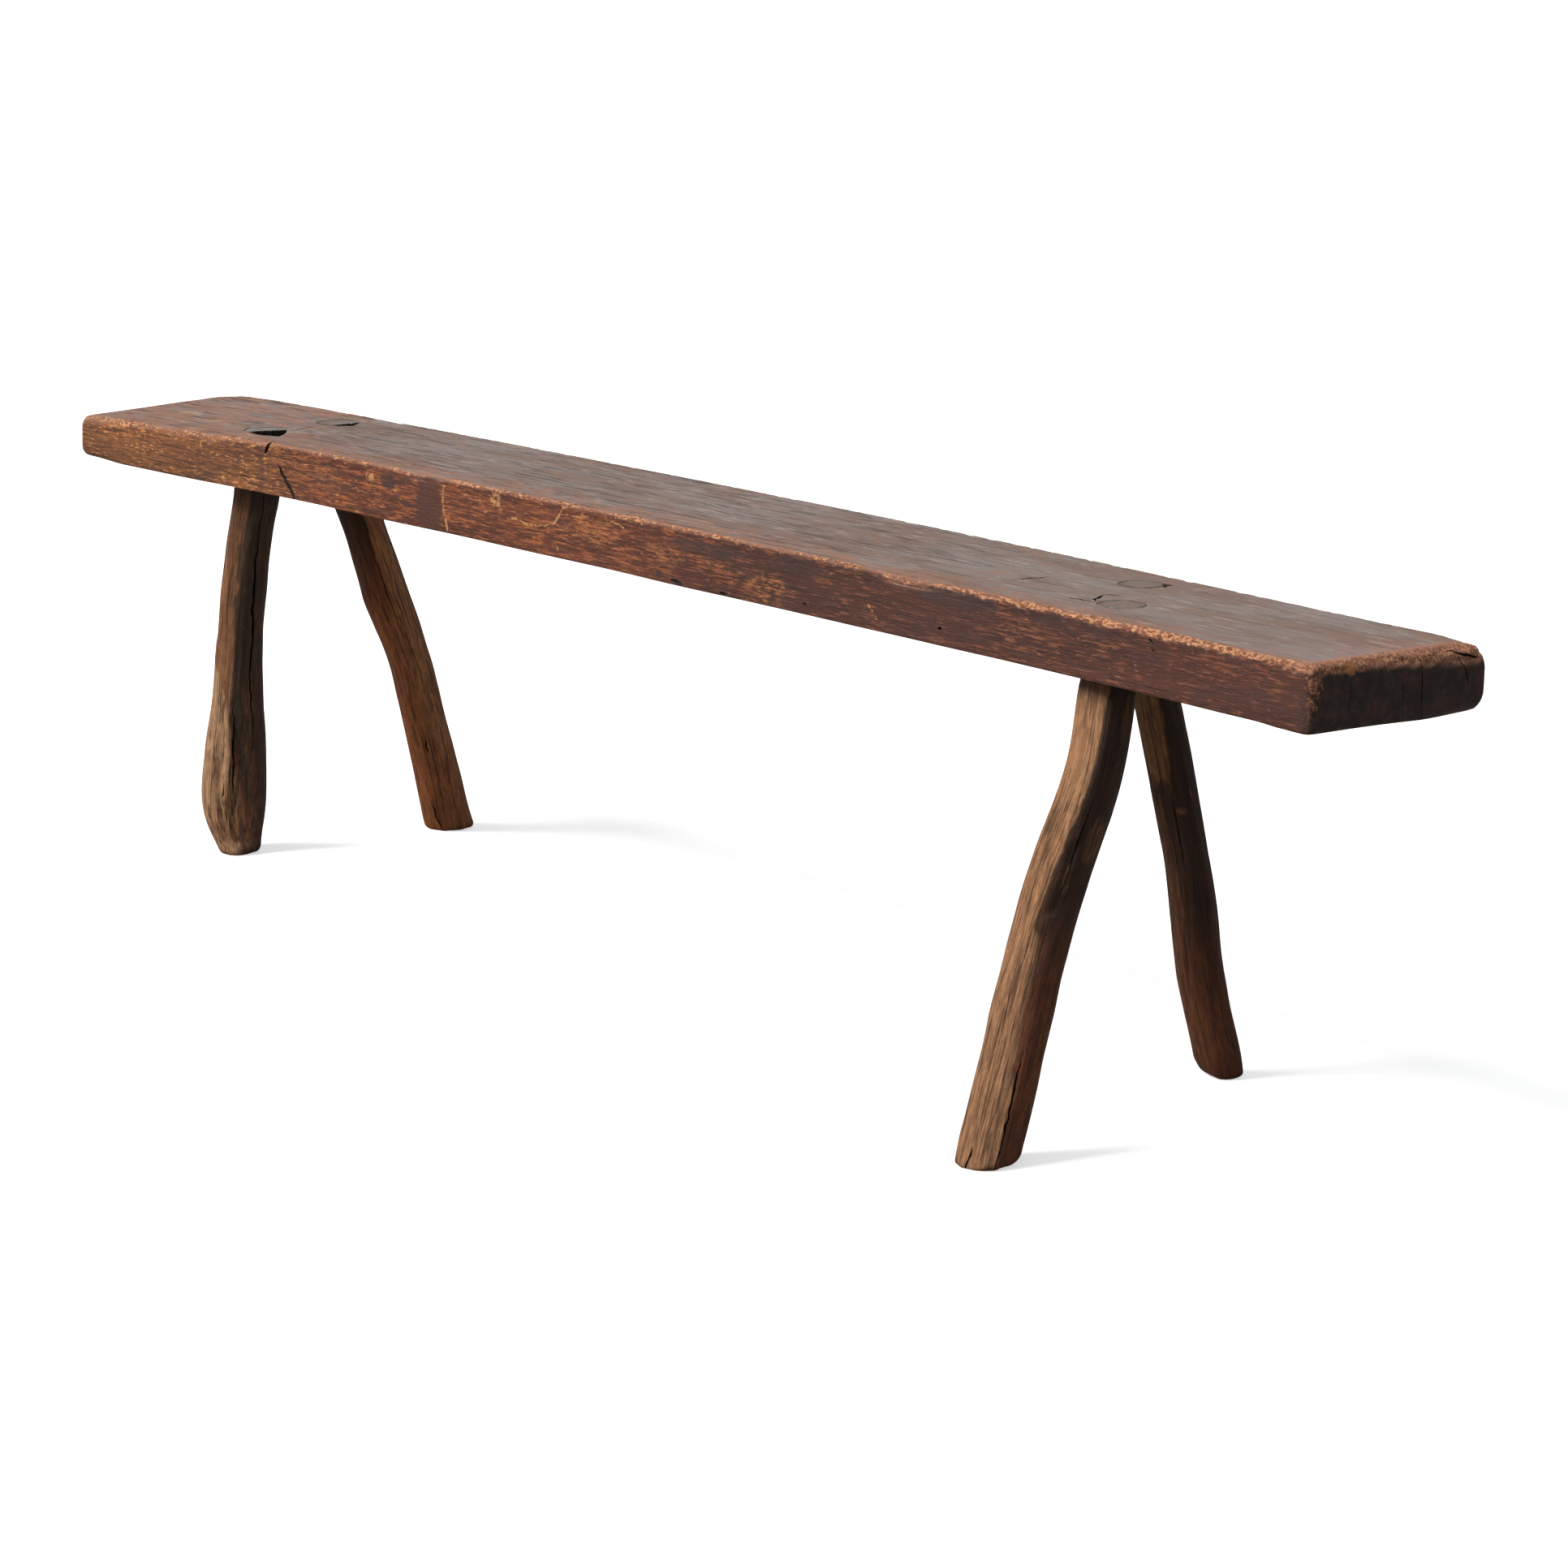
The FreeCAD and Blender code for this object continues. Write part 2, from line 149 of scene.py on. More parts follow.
def seat_top(x, y):
    """Height of the seat's top at a place in the frame, before it is hewn and worn at the edges."""
    x, y = np.asarray(x) - PLANK_MIDDLE[0], np.asarray(y) - PLANK_MIDDLE[1]
    worn = np.clip((WEAR_RUN - HALF_LENGTH - x) / WEAR_RUN, 0, 1)
    worn = np.hypot(worn, 0.05) - 0.05
    depth = blend(WEAR_FRONT, WEAR_BACK, (y + HALF_WIDTH) / (2 * HALF_WIDTH))
    return plank_high.z - CROWN * (x / HALF_LENGTH) ** 2 - depth * worn


def arris_radius(x, y, upper):
    """How round the plank's edges are: sharp below, softer on top, and softest at the ends."""
    back = rise(y, -HALF_WIDTH, HALF_WIDTH)
    to_left = rise(-x, HALF_LENGTH - 0.09, HALF_LENGTH - 0.01)
    to_right = rise(x, HALF_LENGTH - 0.05, HALF_LENGTH - 0.02)
    if upper:
        front_edge = 0.0055 + 0.004 * rise(-x, 0.5, 0.75) + 0.002 * rise(x, 0.3, 0.9)
        back_edge = 0.0025 + 0.012 * rise(x, 0.15, 0.9)
        long_edge = blend(front_edge, back_edge, back)
        left_end = blend(0.014, 0.008, back)
        right_end = blend(0.011, 0.02, back)
    else:
        long_edge = blend(0.0015, 0.0025, back) + 0.0015 * rise(-x, HALF_LENGTH - 0.25, HALF_LENGTH - 0.02)
        left_end = 0.013
        right_end = blend(0.004, 0.017, rise(y, 0.02, HALF_WIDTH))
    return long_edge + (left_end - long_edge) * to_left + (right_end - long_edge) * to_right


def shape_plank(points):
    """Bend a plain box into the worn plank. Also gives how near each point is to an upper edge."""
    x, y, z = points.T.copy()
    left, right = (np.where(y < 0, *CORNER_RADII[end]) for end in ("left", "right"))
    corner = np.where(x < 0, left, right)
    over = np.stack([np.abs(x) - (HALF_LENGTH - corner), np.abs(y) - (HALF_WIDTH - corner)])
    farther = over.max(axis=0)
    inset = corner - farther
    turned = (over > 0).all(axis=0)
    outward = np.where(turned, over, over == farther)
    outward = outward / np.maximum(np.hypot(*outward), 1e-9) * np.sign([x, y])
    rounded = outward * farther + np.sign([x, y]) * ([HALF_LENGTH, HALF_WIDTH] - corner[:, None]).T
    x, y = np.where(turned, rounded, [x, y])

    top_radius = arris_radius(x, y, True)
    bottom_radius = arris_radius(x, y, False)
    nearness = np.zeros_like(x)
    new_inset = inset.copy()
    new_z = z.copy()
    for radius, depth, sign in ((top_radius, THICKNESS - z, 1), (bottom_radius, z, -1)):
        touched = (inset < radius) & (depth < radius)
        from_above = np.arctan2(radius - inset, radius)
        from_side = np.arctan2(radius, radius - depth)
        angle = np.where(depth < 1e-6, from_above, from_side)
        along = radius * (1 - np.sin(angle))
        drop = radius * (1 - np.cos(angle))
        new_inset = np.where(touched, along, new_inset)
        new_z = np.where(touched, np.where(sign > 0, THICKNESS - drop, drop), new_z)
        if sign > 0:
            gap = np.hypot(np.where(touched, along, inset), np.where(touched, drop, depth))
            nearness = 1 - np.clip((gap - 0.414 * radius) / (0.4 * radius + 0.0055), 0, 1)
    x, y = [x, y] - outward * (new_inset - inset)
    z = new_z

    skewed = np.clip((x - HALF_LENGTH + 0.1) / 0.1, 0, 1)
    x = x - END_SKEW * skewed * (HALF_WIDTH - y) / (2 * HALF_WIDTH)
    height = seat_top(x + PLANK_MIDDLE[0], y + PLANK_MIDDLE[1])
    underside = plank_high.z - THICKNESS - (CROWN + 0.0006) * (x / HALF_LENGTH) ** 2
    underside -= UNDER_DROP * rise(x, 0.45, HALF_LENGTH) * rise(y, -0.06, HALF_WIDTH)
    less_at_back = blend(1, 0.4, rise(y, -0.05, HALF_WIDTH))
    right_drop = 0.0022 * rise(x, HALF_LENGTH - 0.07, HALF_LENGTH - 0.02) * less_at_back
    underside -= 0.0014 * rise(-x, 0.55, HALF_LENGTH) + right_drop
    z = underside + z / THICKNESS * (height - underside)
    return np.stack([x + PLANK_MIDDLE[0], y + PLANK_MIDDLE[1], z], axis=1), nearness


def hew_plank(points, nearness):
    """Give the shaped plank its tool marks, dents and crumbled edges."""
    x, y, z = points.T.copy()
    middle_z = (plank_high.z + plank_low.z) / 2
    upward = rise(z, middle_z - 0.01, middle_z + 0.024)
    front = rise(PLANK_MIDDLE[1] - y, HALF_WIDTH - ARRIS_BAND, HALF_WIDTH)
    back = rise(y - PLANK_MIDDLE[1], HALF_WIDTH - ARRIS_BAND, HALF_WIDTH)
    right = rise(x, HALF_LENGTH - 0.03, HALF_LENGTH - 0.004)

    swell = lumps(points, (0.16, 0.07, 0.3), 3)
    ripple = lumps(points, (0.045, 0.028, 0.3), 4)
    z -= upward * (1 - nearness) * (0.0004 * (1 + swell) + 0.0002 * (1 + ripple))
    z += (1 - upward) * 0.0007 * lumps(points, (0.12, 0.09, 0.3), 5)
    y += (front - back) * (0.0005 * (1 + lumps(points, (0.22, 1, 0.08), 6)))
    y += (front - back) * 0.00025 * (1 + lumps(points, (0.07, 1, 0.012), 7))
    x -= right * 0.0004 * (1 + lumps(points, (1, 0.03, 0.02), 8))
    y += back * 0.002 * rise(x, 0.8, HALF_LENGTH)

    for place, reach, depth in ((-0.292, 0.045, 0.0022), (0.44, 0.04, 0.0036), (-0.69, 0.09, 0.0016)):
        dent = depth * np.exp(-(((x - place) / reach) ** 2)) * rise(nearness, 0.05, 0.7) * front
        z -= dent
        y += dent * 0.6
    step = NICK_X - STEP_SLANT * (y - plank_low.y)
    z -= upward * 0.0011 * rise(step - x, -0.004, 0.004) * rise(x, step.mean() - 0.09, step.mean())

    crumbly = 0.0005 + 0.0006 * rise(x, 0.15, 0.6) + 0.0007 * right
    crumbs = lumps(points, (0.007, 0.005, 0.005), 9) + 0.6 * lumps(points, (0.0035, 0.003, 0.003), 10)
    loss = crumbly * np.clip(crumbs, 0, 2) * rise(nearness, 0.2, 0.8)
    z -= loss
    y += loss * front - loss * back
    x -= loss * right
    slab = rise(y, plank_high.y - 0.062, plank_high.y - 0.045)
    slab *= rise(x, HALF_LENGTH - 0.03, HALF_LENGTH - 0.008)
    slab *= rise(z, middle_z + 0.004, middle_z + 0.012)
    ragged = 0.5 + 0.5 * lumps(points, (0.02, 0.012, 0.006), 11)
    z -= 0.001 * slab * ragged
    x -= 0.0015 * slab * ragged
    return np.stack([x, y, z], axis=1)


xs = stations(-HALF_LENGTH, HALF_LENGTH, 0.0037, 0.002, [(-HALF_LENGTH, 0.02), (HALF_LENGTH, 0.035)])
ys = stations(-HALF_WIDTH, HALF_WIDTH, 0.0048, 0.0016, [(-HALF_WIDTH, 0.012), (HALF_WIDTH, 0.012)])
zs = stations(0, THICKNESS, 0.0036, 0.0014, [(0, 0.005), (THICKNESS, 0.01)])
plank_points, plank_faces = box_skin(xs, ys, zs)
shaped, edge_nearness = shape_plank(plank_points)
hewn = hew_plank(shaped, edge_nearness)
seat = make_mesh("seat", hewn, plank_faces)
solid_seat = surface(seat)


def level_way(turn):
    """The level direction at a turn."""
    return Vector((math.cos(turn), math.sin(turn), 0))


def section(skin, x, y, z, turns):
    """Middle and radii of a branch at one height, felt from outside with level rays."""
    reach = 0.12
    middle = Vector((x, y, z))
    for _ in range(3):
        hits = []
        for turn in turns:
            way = level_way(turn)
            hits.append(skin.ray_cast(middle + way * reach, -way, reach)[0] or middle)
        radii = [(hit - middle).length for hit in hits]
        centre = (np.max(hits, axis=0) + np.min(hits, axis=0)) / 2
        middle = Vector((centre[0], centre[1], z))
    return np.array(middle), np.array(radii)


LEGS = ("front_left", "back_left", "front_right", "back_right")
TENON_LOW = 0.402
TENON_HIGH = 0.42
coarse_turns = np.radians(np.arange(0, 360, 15))
tenons = {}
for leg in LEGS:
    cad_skin = surface(frame["nodes"][f"leg_{leg}"])
    wedge_low, wedge_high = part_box(f"wedge_{leg}")
    top_x = (wedge_low.x + wedge_high.x) / 2
    top_y = (wedge_low.y + wedge_high.y) / 2
    ends = [section(cad_skin, top_x, top_y, z, coarse_turns) for z in (TENON_LOW, TENON_HIGH)]
    tenons[leg] = [(middle, np.median(radii)) for middle, radii in ends]


def tenon_at(leg, z):
    """Middle and radius of a tenon at a height."""
    (low, low_radius), (high, high_radius) = tenons[leg]
    share = (z - TENON_LOW) / (TENON_HIGH - TENON_LOW)
    return blend(low, high, share)[:2], blend(low_radius, high_radius, share)


def tube(name, rings):
    """A closed mesh through rings of points, with a fan at each end."""
    count = len(rings[0])
    points = np.concatenate(rings)
    faces = []
    for row in range(len(rings) - 1):
        for spot in range(count):
            following = (spot + 1) % count
            faces.append((row * count + spot, row * count + following,
                          (row + 1) * count + following, (row + 1) * count + spot))
    faces.append(tuple(range(count))[::-1])
    faces.append(tuple(range(len(points) - count, len(points))))
    return make_mesh(name, points, faces)


def carve(piece, tool):
    """Cut a tool out of a piece and remove the tool."""
    cut = piece.modifiers.new("cut", "BOOLEAN")
    cut.operation = "DIFFERENCE"
    cut.solver = "MANIFOLD"
    cut.object = tool
    bpy.context.view_layer.update()
    carved = bpy.data.meshes.new_from_object(piece.evaluated_get(bpy.context.evaluated_depsgraph_get()))
    piece.modifiers.clear()
    carved.materials.clear()
    old = piece.data
    piece.data = carved
    bpy.data.meshes.remove(old)
    bpy.data.objects.remove(tool)


# How far each socket's worn mouth runs on along the grain to the left and right of its middle,
# how far its right point is slanted to the front, how deep it is, and how open the gap round the
# tenon is. The right sockets have kept their round mouths.
MOUTHS = {
    "front_left": {"left": 0.026, "right": 0.053, "slant": -0.019, "deep": 0.012, "gap": 1.0},
    "back_left": {"left": 0.0, "right": 0.029, "slant": -0.003, "deep": 0.01, "gap": 0.7},
    "front_right": {"left": 0.0, "right": 0.0, "slant": 0.0, "deep": 0.0015, "gap": 0.08},
    "back_right": {"left": 0.0, "right": 0.0, "slant": 0.0, "deep": 0.0015, "gap": 0.08},
}
MOUTH_POINT = 1.9


def mouth_ring(leg, z, turns, room, sides=("left", "right")):
    """A ring of a socket or its tenon at a height. It opens to a pointed lens near the top."""
    (middle_x, middle_y), radius = tenon_at(leg, z)
    mouth = MOUTHS[leg]
    top = seat_top(middle_x, middle_y)
    open_up = rise(z, top - mouth["deep"], top - mouth["deep"] * 0.15)
    x = np.cos(turns) * (radius + room)
    y = np.sin(turns) * (radius + room)
    for side, way in (("left", x < 0), ("right", x >= 0)):
        if side in sides and mouth[side] > radius:
            long = np.cos(turns) * (mouth[side] + room)
            narrow = np.sign(y) * np.abs(np.sin(turns)) ** MOUTH_POINT * (radius + room)
            if side == "right":
                narrow = narrow + mouth["slant"] * np.cos(turns)
            x = np.where(way, blend(x, long, open_up), x)
            y = np.where(way, blend(y, narrow, open_up), y)
    return np.stack([middle_x + x, middle_y + y, np.full_like(x, z)], axis=1)


SOCKET_TURNS = np.radians(np.arange(0, 360, 5))
SOCKET_LEVELS = (plank_low.z - 0.01, 0.4, 0.41, 0.42, 0.43, 0.436, 0.44, 0.443, 0.446, 0.449, 0.452, 0.46)
LIP_DEPTH = 0.003
for number, leg in enumerate(LEGS):
    rings = []
    for z in SOCKET_LEVELS:
        top = seat_top(*tenon_at(leg, z)[0])
        lip = rise(z, top - LIP_DEPTH, top)
        around = SOCKET_TURNS * 3
        rim = lumps(np.column_stack([around, np.full_like(around, z * 90), around]), 1.0, 20 + number)
        room = (0.0004 + (0.0002 + 0.0007 * lip) * (1 + rim.mean() + rim)) * MOUTHS[leg]["gap"]
        rings.append(mouth_ring(leg, z, SOCKET_TURNS, room))
    carve(seat, tube("socket_tool", rings))


def blade(path, inward, width, depth, seed, proud=0.003, steps=14):
    """A thin wavy wedge that opens a crack along a path on the surface."""
    path = np.array(path, float)
    inward = np.array(inward, float)
    lengths = np.concatenate([[0], np.cumsum(np.linalg.norm(np.diff(path, axis=0), axis=1))])
    walk = np.linspace(0, lengths[-1], steps)
    middle = np.stack([np.interp(walk, lengths, path[:, axis]) for axis in range(3)], axis=1)
    heading = np.gradient(middle, axis=0)
    side = np.cross(heading, inward)
    side /= np.linalg.norm(side, axis=1)[:, None]
    share = np.linspace(0, 1, steps)
    swell = (np.sin(np.pi * np.clip(share, 0.02, 0.98)) ** 0.6)[:, None]
    wobble = lumps(middle, 0.006, seed)[:, None]
    unevenness = 1 + 0.35 * lumps(middle, 0.004, seed + 1)[:, None]
    middle = middle + side * wobble * width * 0.5
    half = side * width / 2 * swell * unevenness
    bottom = middle + inward * depth * np.maximum(swell, 0.25)
    sections = np.stack([middle - half - inward * proud, middle + half - inward * proud,
                         bottom + half * 0.45, bottom - half * 0.45], axis=1)
    tool = tube("blade", list(sections))
    work = bmesh.new()
    work.from_mesh(tool.data)
    bmesh.ops.recalc_face_normals(work, faces=work.faces)
    work.to_mesh(tool.data)
    work.free()
    return tool


FRONT_Y = plank_low.y
END_X = plank_high.x
DOWN = (0, 0, -1)
BACKWARD = (0, 1, 0)
LEFTWARD = (-1, 0, 0)
ARRIS_INWARD = (0, 0.7, 0.71)
# Cracks, checks and the nick: path, way in, width and depth
CRACKS = [
    # The nick across the front arris and the drying check below it
    ([(-0.5725, FRONT_Y - 0.003, 0.4385), (-0.5685, FRONT_Y - 0.003, 0.4425),
      (-0.5645, FRONT_Y - 0.001, 0.449), (-0.5625, FRONT_Y + 0.004, 0.4525),
      (-0.5615, FRONT_Y + 0.007, 0.4535)], (0, 0.75, -0.66), 0.007, 0.013),
    ([(-0.548, FRONT_Y, 0.431), (-0.541, FRONT_Y, 0.424), (-0.531, FRONT_Y, 0.411), (-0.524, FRONT_Y, 0.404),
      (-0.511, FRONT_Y, 0.391)], BACKWARD, 0.0072, 0.014),
    # Splits along the grain beside the left sockets
    ([(-0.745, -0.022, 0.446), (-0.715, -0.023, 0.447), (-0.689, -0.026, 0.448)], DOWN, 0.003, 0.005),
    ([(-0.7, -0.008, 0.448), (-0.672, -0.004, 0.448), (-0.652, -0.003, 0.449)], DOWN, 0.0018, 0.005),
    ([(-0.616, -0.02, 0.449), (-0.59, -0.018, 0.45), (-0.571, -0.017, 0.45)], DOWN, 0.0018, 0.004),
    ([(-0.712, 0.052, 0.448), (-0.694, 0.056, 0.448), (-0.682, 0.06, 0.448)], DOWN, 0.002, 0.005),
    # The cleft across the grain between the two left sockets
    ([(-0.627, -0.024, 0.4495), (-0.638, 0.004, 0.4495), (-0.65, 0.036, 0.4495)], DOWN, 0.0028, 0.003),
    # The stepped crack left of the front right tenon, and the check at the back right one
    ([(0.594, -0.0385, 0.45), (0.61, -0.0355, 0.45), (0.6225, -0.0325, 0.45)], DOWN, 0.0046, 0.006),
    ([(0.619, -0.033, 0.45), (0.612, -0.02, 0.45), (0.601, -0.0035, 0.45)], DOWN, 0.0046, 0.005),
    ([(0.6, -0.005, 0.45), (0.604, -0.0005, 0.45), (0.613, 0.005, 0.45)], DOWN, 0.0044, 0.005),
    ([(0.58, 0.08, 0.45), (0.5885, 0.0775, 0.45), (0.5955, 0.0725, 0.45), (0.602, 0.068, 0.45)],
     DOWN, 0.009, 0.008),
    # A scratch across the grain, and old drying checks along the top
    ([(0.502, -0.025, 0.451), (0.506, -0.004, 0.451), (0.511, 0.02, 0.451)], DOWN, 0.0044, 0.0022),
    ([(-0.47, 0.03, 0.451), (-0.448, 0.031, 0.451), (-0.436, 0.03, 0.451)], DOWN, 0.0018, 0.0035),
    ([(-0.3, -0.02, 0.452), (-0.281, -0.019, 0.452), (-0.268, -0.019, 0.452)], DOWN, 0.0017, 0.003),
    ([(-0.12, 0.046, 0.452), (-0.096, 0.047, 0.452), (-0.08, 0.046, 0.452)], DOWN, 0.0017, 0.003),
    ([(0.105, 0.015, 0.452), (0.135, 0.017, 0.452), (0.162, 0.016, 0.452)], DOWN, 0.0016, 0.003),
    ([(0.24, -0.045, 0.452), (0.262, -0.044, 0.452), (0.275, -0.044, 0.452)], DOWN, 0.0018, 0.0035),
    ([(0.34, 0.064, 0.451), (0.358, 0.065, 0.451), (0.372, 0.064, 0.451)], DOWN, 0.0016, 0.003),
    ([(0.69, 0.02, 0.449), (0.716, 0.021, 0.449), (0.742, 0.02, 0.449)], DOWN, 0.0014, 0.0025),
    ([(0.8, -0.035, 0.449), (0.824, -0.034, 0.449), (0.838, -0.034, 0.449)], DOWN, 0.0014, 0.0025),
    # Small holes in the front face
    ([(0.482, FRONT_Y, 0.4105), (0.487, FRONT_Y, 0.4125)], BACKWARD, 0.0042, 0.006),
    ([(0.743, FRONT_Y, 0.4405), (0.75, FRONT_Y, 0.4385)], BACKWARD, 0.0036, 0.006),
    ([(0.747, FRONT_Y, 0.4325), (0.751, FRONT_Y, 0.431)], BACKWARD, 0.0026, 0.005),
    ([(0.298, FRONT_Y, 0.4065), (0.305, FRONT_Y, 0.4055)], BACKWARD, 0.003, 0.004),
    # Bruises on the lower front arris
    ([(0.106, FRONT_Y, 0.4005), (0.116, FRONT_Y, 0.3985), (0.126, FRONT_Y, 0.3975)],
     ARRIS_INWARD, 0.006, 0.0045),
    ([(0.18, FRONT_Y, 0.3995), (0.19, FRONT_Y, 0.3985)], ARRIS_INWARD, 0.005, 0.004),
    # Checks in the right end: one from top to bottom, shorter ones, and the split near the back
    ([(END_X, 0.038, 0.446), (END_X, 0.0395, 0.43), (END_X, 0.0395, 0.41), (END_X, 0.0415, 0.388)],
     LEFTWARD, 0.002, 0.03),
    ([(END_X, 0.018, 0.424), (END_X, 0.0195, 0.408), (END_X, 0.018, 0.397)], LEFTWARD, 0.0014, 0.012),
    ([(END_X, 0.083, 0.436), (END_X, 0.09, 0.424), (END_X, 0.093, 0.412)], LEFTWARD, 0.0018, 0.014),
    ([(END_X, -0.04, 0.432), (END_X, -0.039, 0.418), (END_X, -0.041, 0.406)], LEFTWARD, 0.0012, 0.01),
    ([(END_X - 0.004, 0.06, 0.4485), (END_X - 0.002, 0.078, 0.445), (END_X - 0.002, 0.096, 0.4385),
      (END_X - 0.006, 0.107, 0.433)], (-0.9, 0, -0.43), 0.0038, 0.01),
]
for number, (path, inward, width, depth) in enumerate(CRACKS):
    carve(seat, blade(path, inward, width, depth, 100 + 3 * number))


def finish_mesh(piece, sharp_degrees=38):
    """Smooth shading, with creases where faces meet sharply."""
    piece.data.shade_smooth()
    piece.data.set_sharp_from_angle(angle=math.radians(sharp_degrees))


def store(piece, name, values):
    """Keep a value for each point of a piece, for its material."""
    kind = "FLOAT" if values.ndim == 1 else "FLOAT_VECTOR"
    layer = piece.data.attributes.new(name, kind, "POINT")
    layer.data.foreach_set("value" if values.ndim == 1 else "vector", values.astype(np.float32).ravel())


def points_of(piece):
    """The places of a piece's points."""
    flat = np.empty(len(piece.data.vertices) * 3, np.float32)
    piece.data.vertices.foreach_get("co", flat)
    return flat.reshape(-1, 3).astype(float)


def nearest(places, others):
    """For each place, the number of the nearest of the others."""
    lookup = KDTree(len(others))
    for number, other in enumerate(others):
        lookup.insert(other, number)
    lookup.balance()
    return [lookup.find(place)[1] for place in places]


def depth_under(skin, places, full):
    """How deep each point lies under a skin, as a share of a full depth."""
    return np.clip([skin.find_nearest(Vector(place))[3] / full for place in places], 0, 1)


finish_mesh(seat)
carved_points = points_of(seat)
store(seat, "edge", edge_nearness[nearest(carved_points, hewn)])
store(seat, "hollow", depth_under(solid_seat, carved_points, HOLLOW_DEPTH))
store(seat, "grain_place", carved_points)


def put(kind, *values, **settings):
    """One more node in the tree at hand. Values go to its inputs in order and may be other outputs."""
    made = tree.nodes.new(kind)
    for name, setting in settings.items():
        setattr(made, name, setting)
    for socket, source in zip(made.inputs, values):
        if isinstance(source, bpy.types.NodeSocket):
            tree.links.new(source, socket)
        elif source is not None:
            socket.default_value = (*source, 1) if socket.type == "RGBA" else source
    return made.outputs


def maths(operation, *values):
    """The result of a sum on numbers."""
    return put("ShaderNodeMath", *values, operation=operation)[0]


def times(one, other):
    """One number times another."""
    return maths("MULTIPLY", one, other)


def times_plus(one, other, more):
    """One number times another, and a third added."""
    return maths("MULTIPLY_ADD", one, other, more)


def larger(one, other):
    """The larger of two numbers."""
    return maths("MAXIMUM", one, other)


def vectors(operation, *values):
    """The result of a sum on vectors."""
    return put("ShaderNodeVectorMath", *values, operation=operation)[0]


def measure(operation, *values):
    """The result of a sum on vectors that gives a number."""
    return put("ShaderNodeVectorMath", *values, operation=operation)[1]


def slope(value, low, high, start=0.0, end=1.0):
    """A value led smoothly from one range to another."""
    return put("ShaderNodeMapRange", value, low, high, start, end, interpolation_type="SMOOTHSTEP")[0]


def tint(share, under, over):
    """One colour laid over another."""
    return put("ShaderNodeMix", share, None, None, None, None, None, under, over, data_type="RGBA")[2]


def cloud(place, scale, detail=2.0, roughness=0.5):
    """Soft random shading around 0.5."""
    return put("ShaderNodeTexNoise", place, None, scale, detail, roughness)[0]


def drawn(place, stretch, detail, roughness=0.6):
    """Soft random shading drawn out along the grain."""
    return cloud(vectors("MULTIPLY", place, stretch), 1, detail, roughness)


def effect(name, inputs, outputs):
    """An empty node group with named inputs and outputs."""
    group = bpy.data.node_groups.new(name, "ShaderNodeTree")
    for sockets, way in ((inputs, "INPUT"), (outputs, "OUTPUT")):
        for label, kind in sockets.items():
            group.interface.new_socket(name=label, in_out=way, socket_type=f"NodeSocket{kind}")
    return group, group.nodes.new("NodeGroupInput").outputs, group.nodes.new("NodeGroupOutput").inputs


def join(source, socket):
    """Lead an output to an input."""
    tree.links.new(source, socket)


# Long grain: streaks that run with the fibres, broad bands of darker and lighter growth, and
# short dark pores.
tree, given, result = effect(
    "long_grain",
    {"Place": "Vector", "Run": "Float", "Width": "Float"},
    {"Fibres": "Float", "Bands": "Float", "Pores": "Float"},
)
cell = put("ShaderNodeCombineXYZ", given["Run"], given["Width"], given["Width"])[0]
drawn_out = vectors("DIVIDE", given["Place"], cell)
join(slope(cloud(drawn_out, 1, 6, 0.68), 0.32, 0.68), result["Fibres"])
join(slope(cloud(drawn_out, 0.17, 3, 0.55), 0.34, 0.66), result["Bands"])
join(slope(drawn(drawn_out, (2.2, 1.3, 1.3), 3), 0.6, 0.68), result["Pores"])

# Bare edge: where handling has rubbed a finish away, broken up into crumbs and flecks.
tree, given, result = effect(
    "bare_edge",
    {"Place": "Vector", "Edge": "Float", "Amount": "Float"},
    {"Mask": "Float"},
)
stretched = vectors("MULTIPLY", given["Place"], (0.45, 1, 1))
breaks = cloud(stretched, 260, 5, 0.7)
patches = cloud(stretched, 45, 3, 0.6)
rubbed = times_plus(breaks, 1.3, times(given["Edge"], given["Amount"]))
join(slope(times_plus(patches, 1.1, rubbed), 1.72, 2), result["Mask"])

# Blot: a stain or rubbed patch with a ragged outline, at a place of its own.
tree, given, result = effect(
    "blot",
    {"Place": "Vector", "Centre": "Vector", "Reach": "Vector", "Ragged": "Float"},
    {"Mask": "Float"},
)
away = vectors("DIVIDE", vectors("SUBTRACT", given["Place"], given["Centre"]), given["Reach"])
fray = maths("SUBTRACT", cloud(given["Place"], 120, 6, 0.8), 0.5)
distance = times_plus(fray, given["Ragged"], measure("LENGTH", away))
join(slope(distance, 1.15, 0.75), result["Mask"])

# Scratch: a thin line from one place to another that wavers and skips. WAVER is how far it
# strays, and half of it takes out the noise's own middle of 0.5.
WAVER = 0.006
tree, given, result = effect(
    "scratch",
    {"Place": "Vector", "From": "Vector", "To": "Vector", "Width": "Float"},
    {"Mask": "Float"},
)
waver = put("ShaderNodeTexNoise", given["Place"], None, 70.0, 2.0, 0.5)[1]
waver = vectors("MULTIPLY_ADD", waver, (WAVER, WAVER, WAVER), given["Place"])
start = vectors("SUBTRACT", waver, vectors("ADD", given["From"], (WAVER / 2, WAVER / 2, WAVER / 2)))
line = vectors("SUBTRACT", given["To"], given["From"])
share = maths("DIVIDE", measure("DOT_PRODUCT", start, line), measure("DOT_PRODUCT", line, line))
foot = vectors("SCALE", line, None, None, put("ShaderNodeClamp", share)[0])
distance = maths("DIVIDE", measure("LENGTH", vectors("SUBTRACT", start, foot)), given["Width"])
skips = slope(cloud(given["Place"], 260, 3, 0.6), 0.36, 0.52)
join(times(slope(distance, 1, 0.4), skips), result["Mask"])


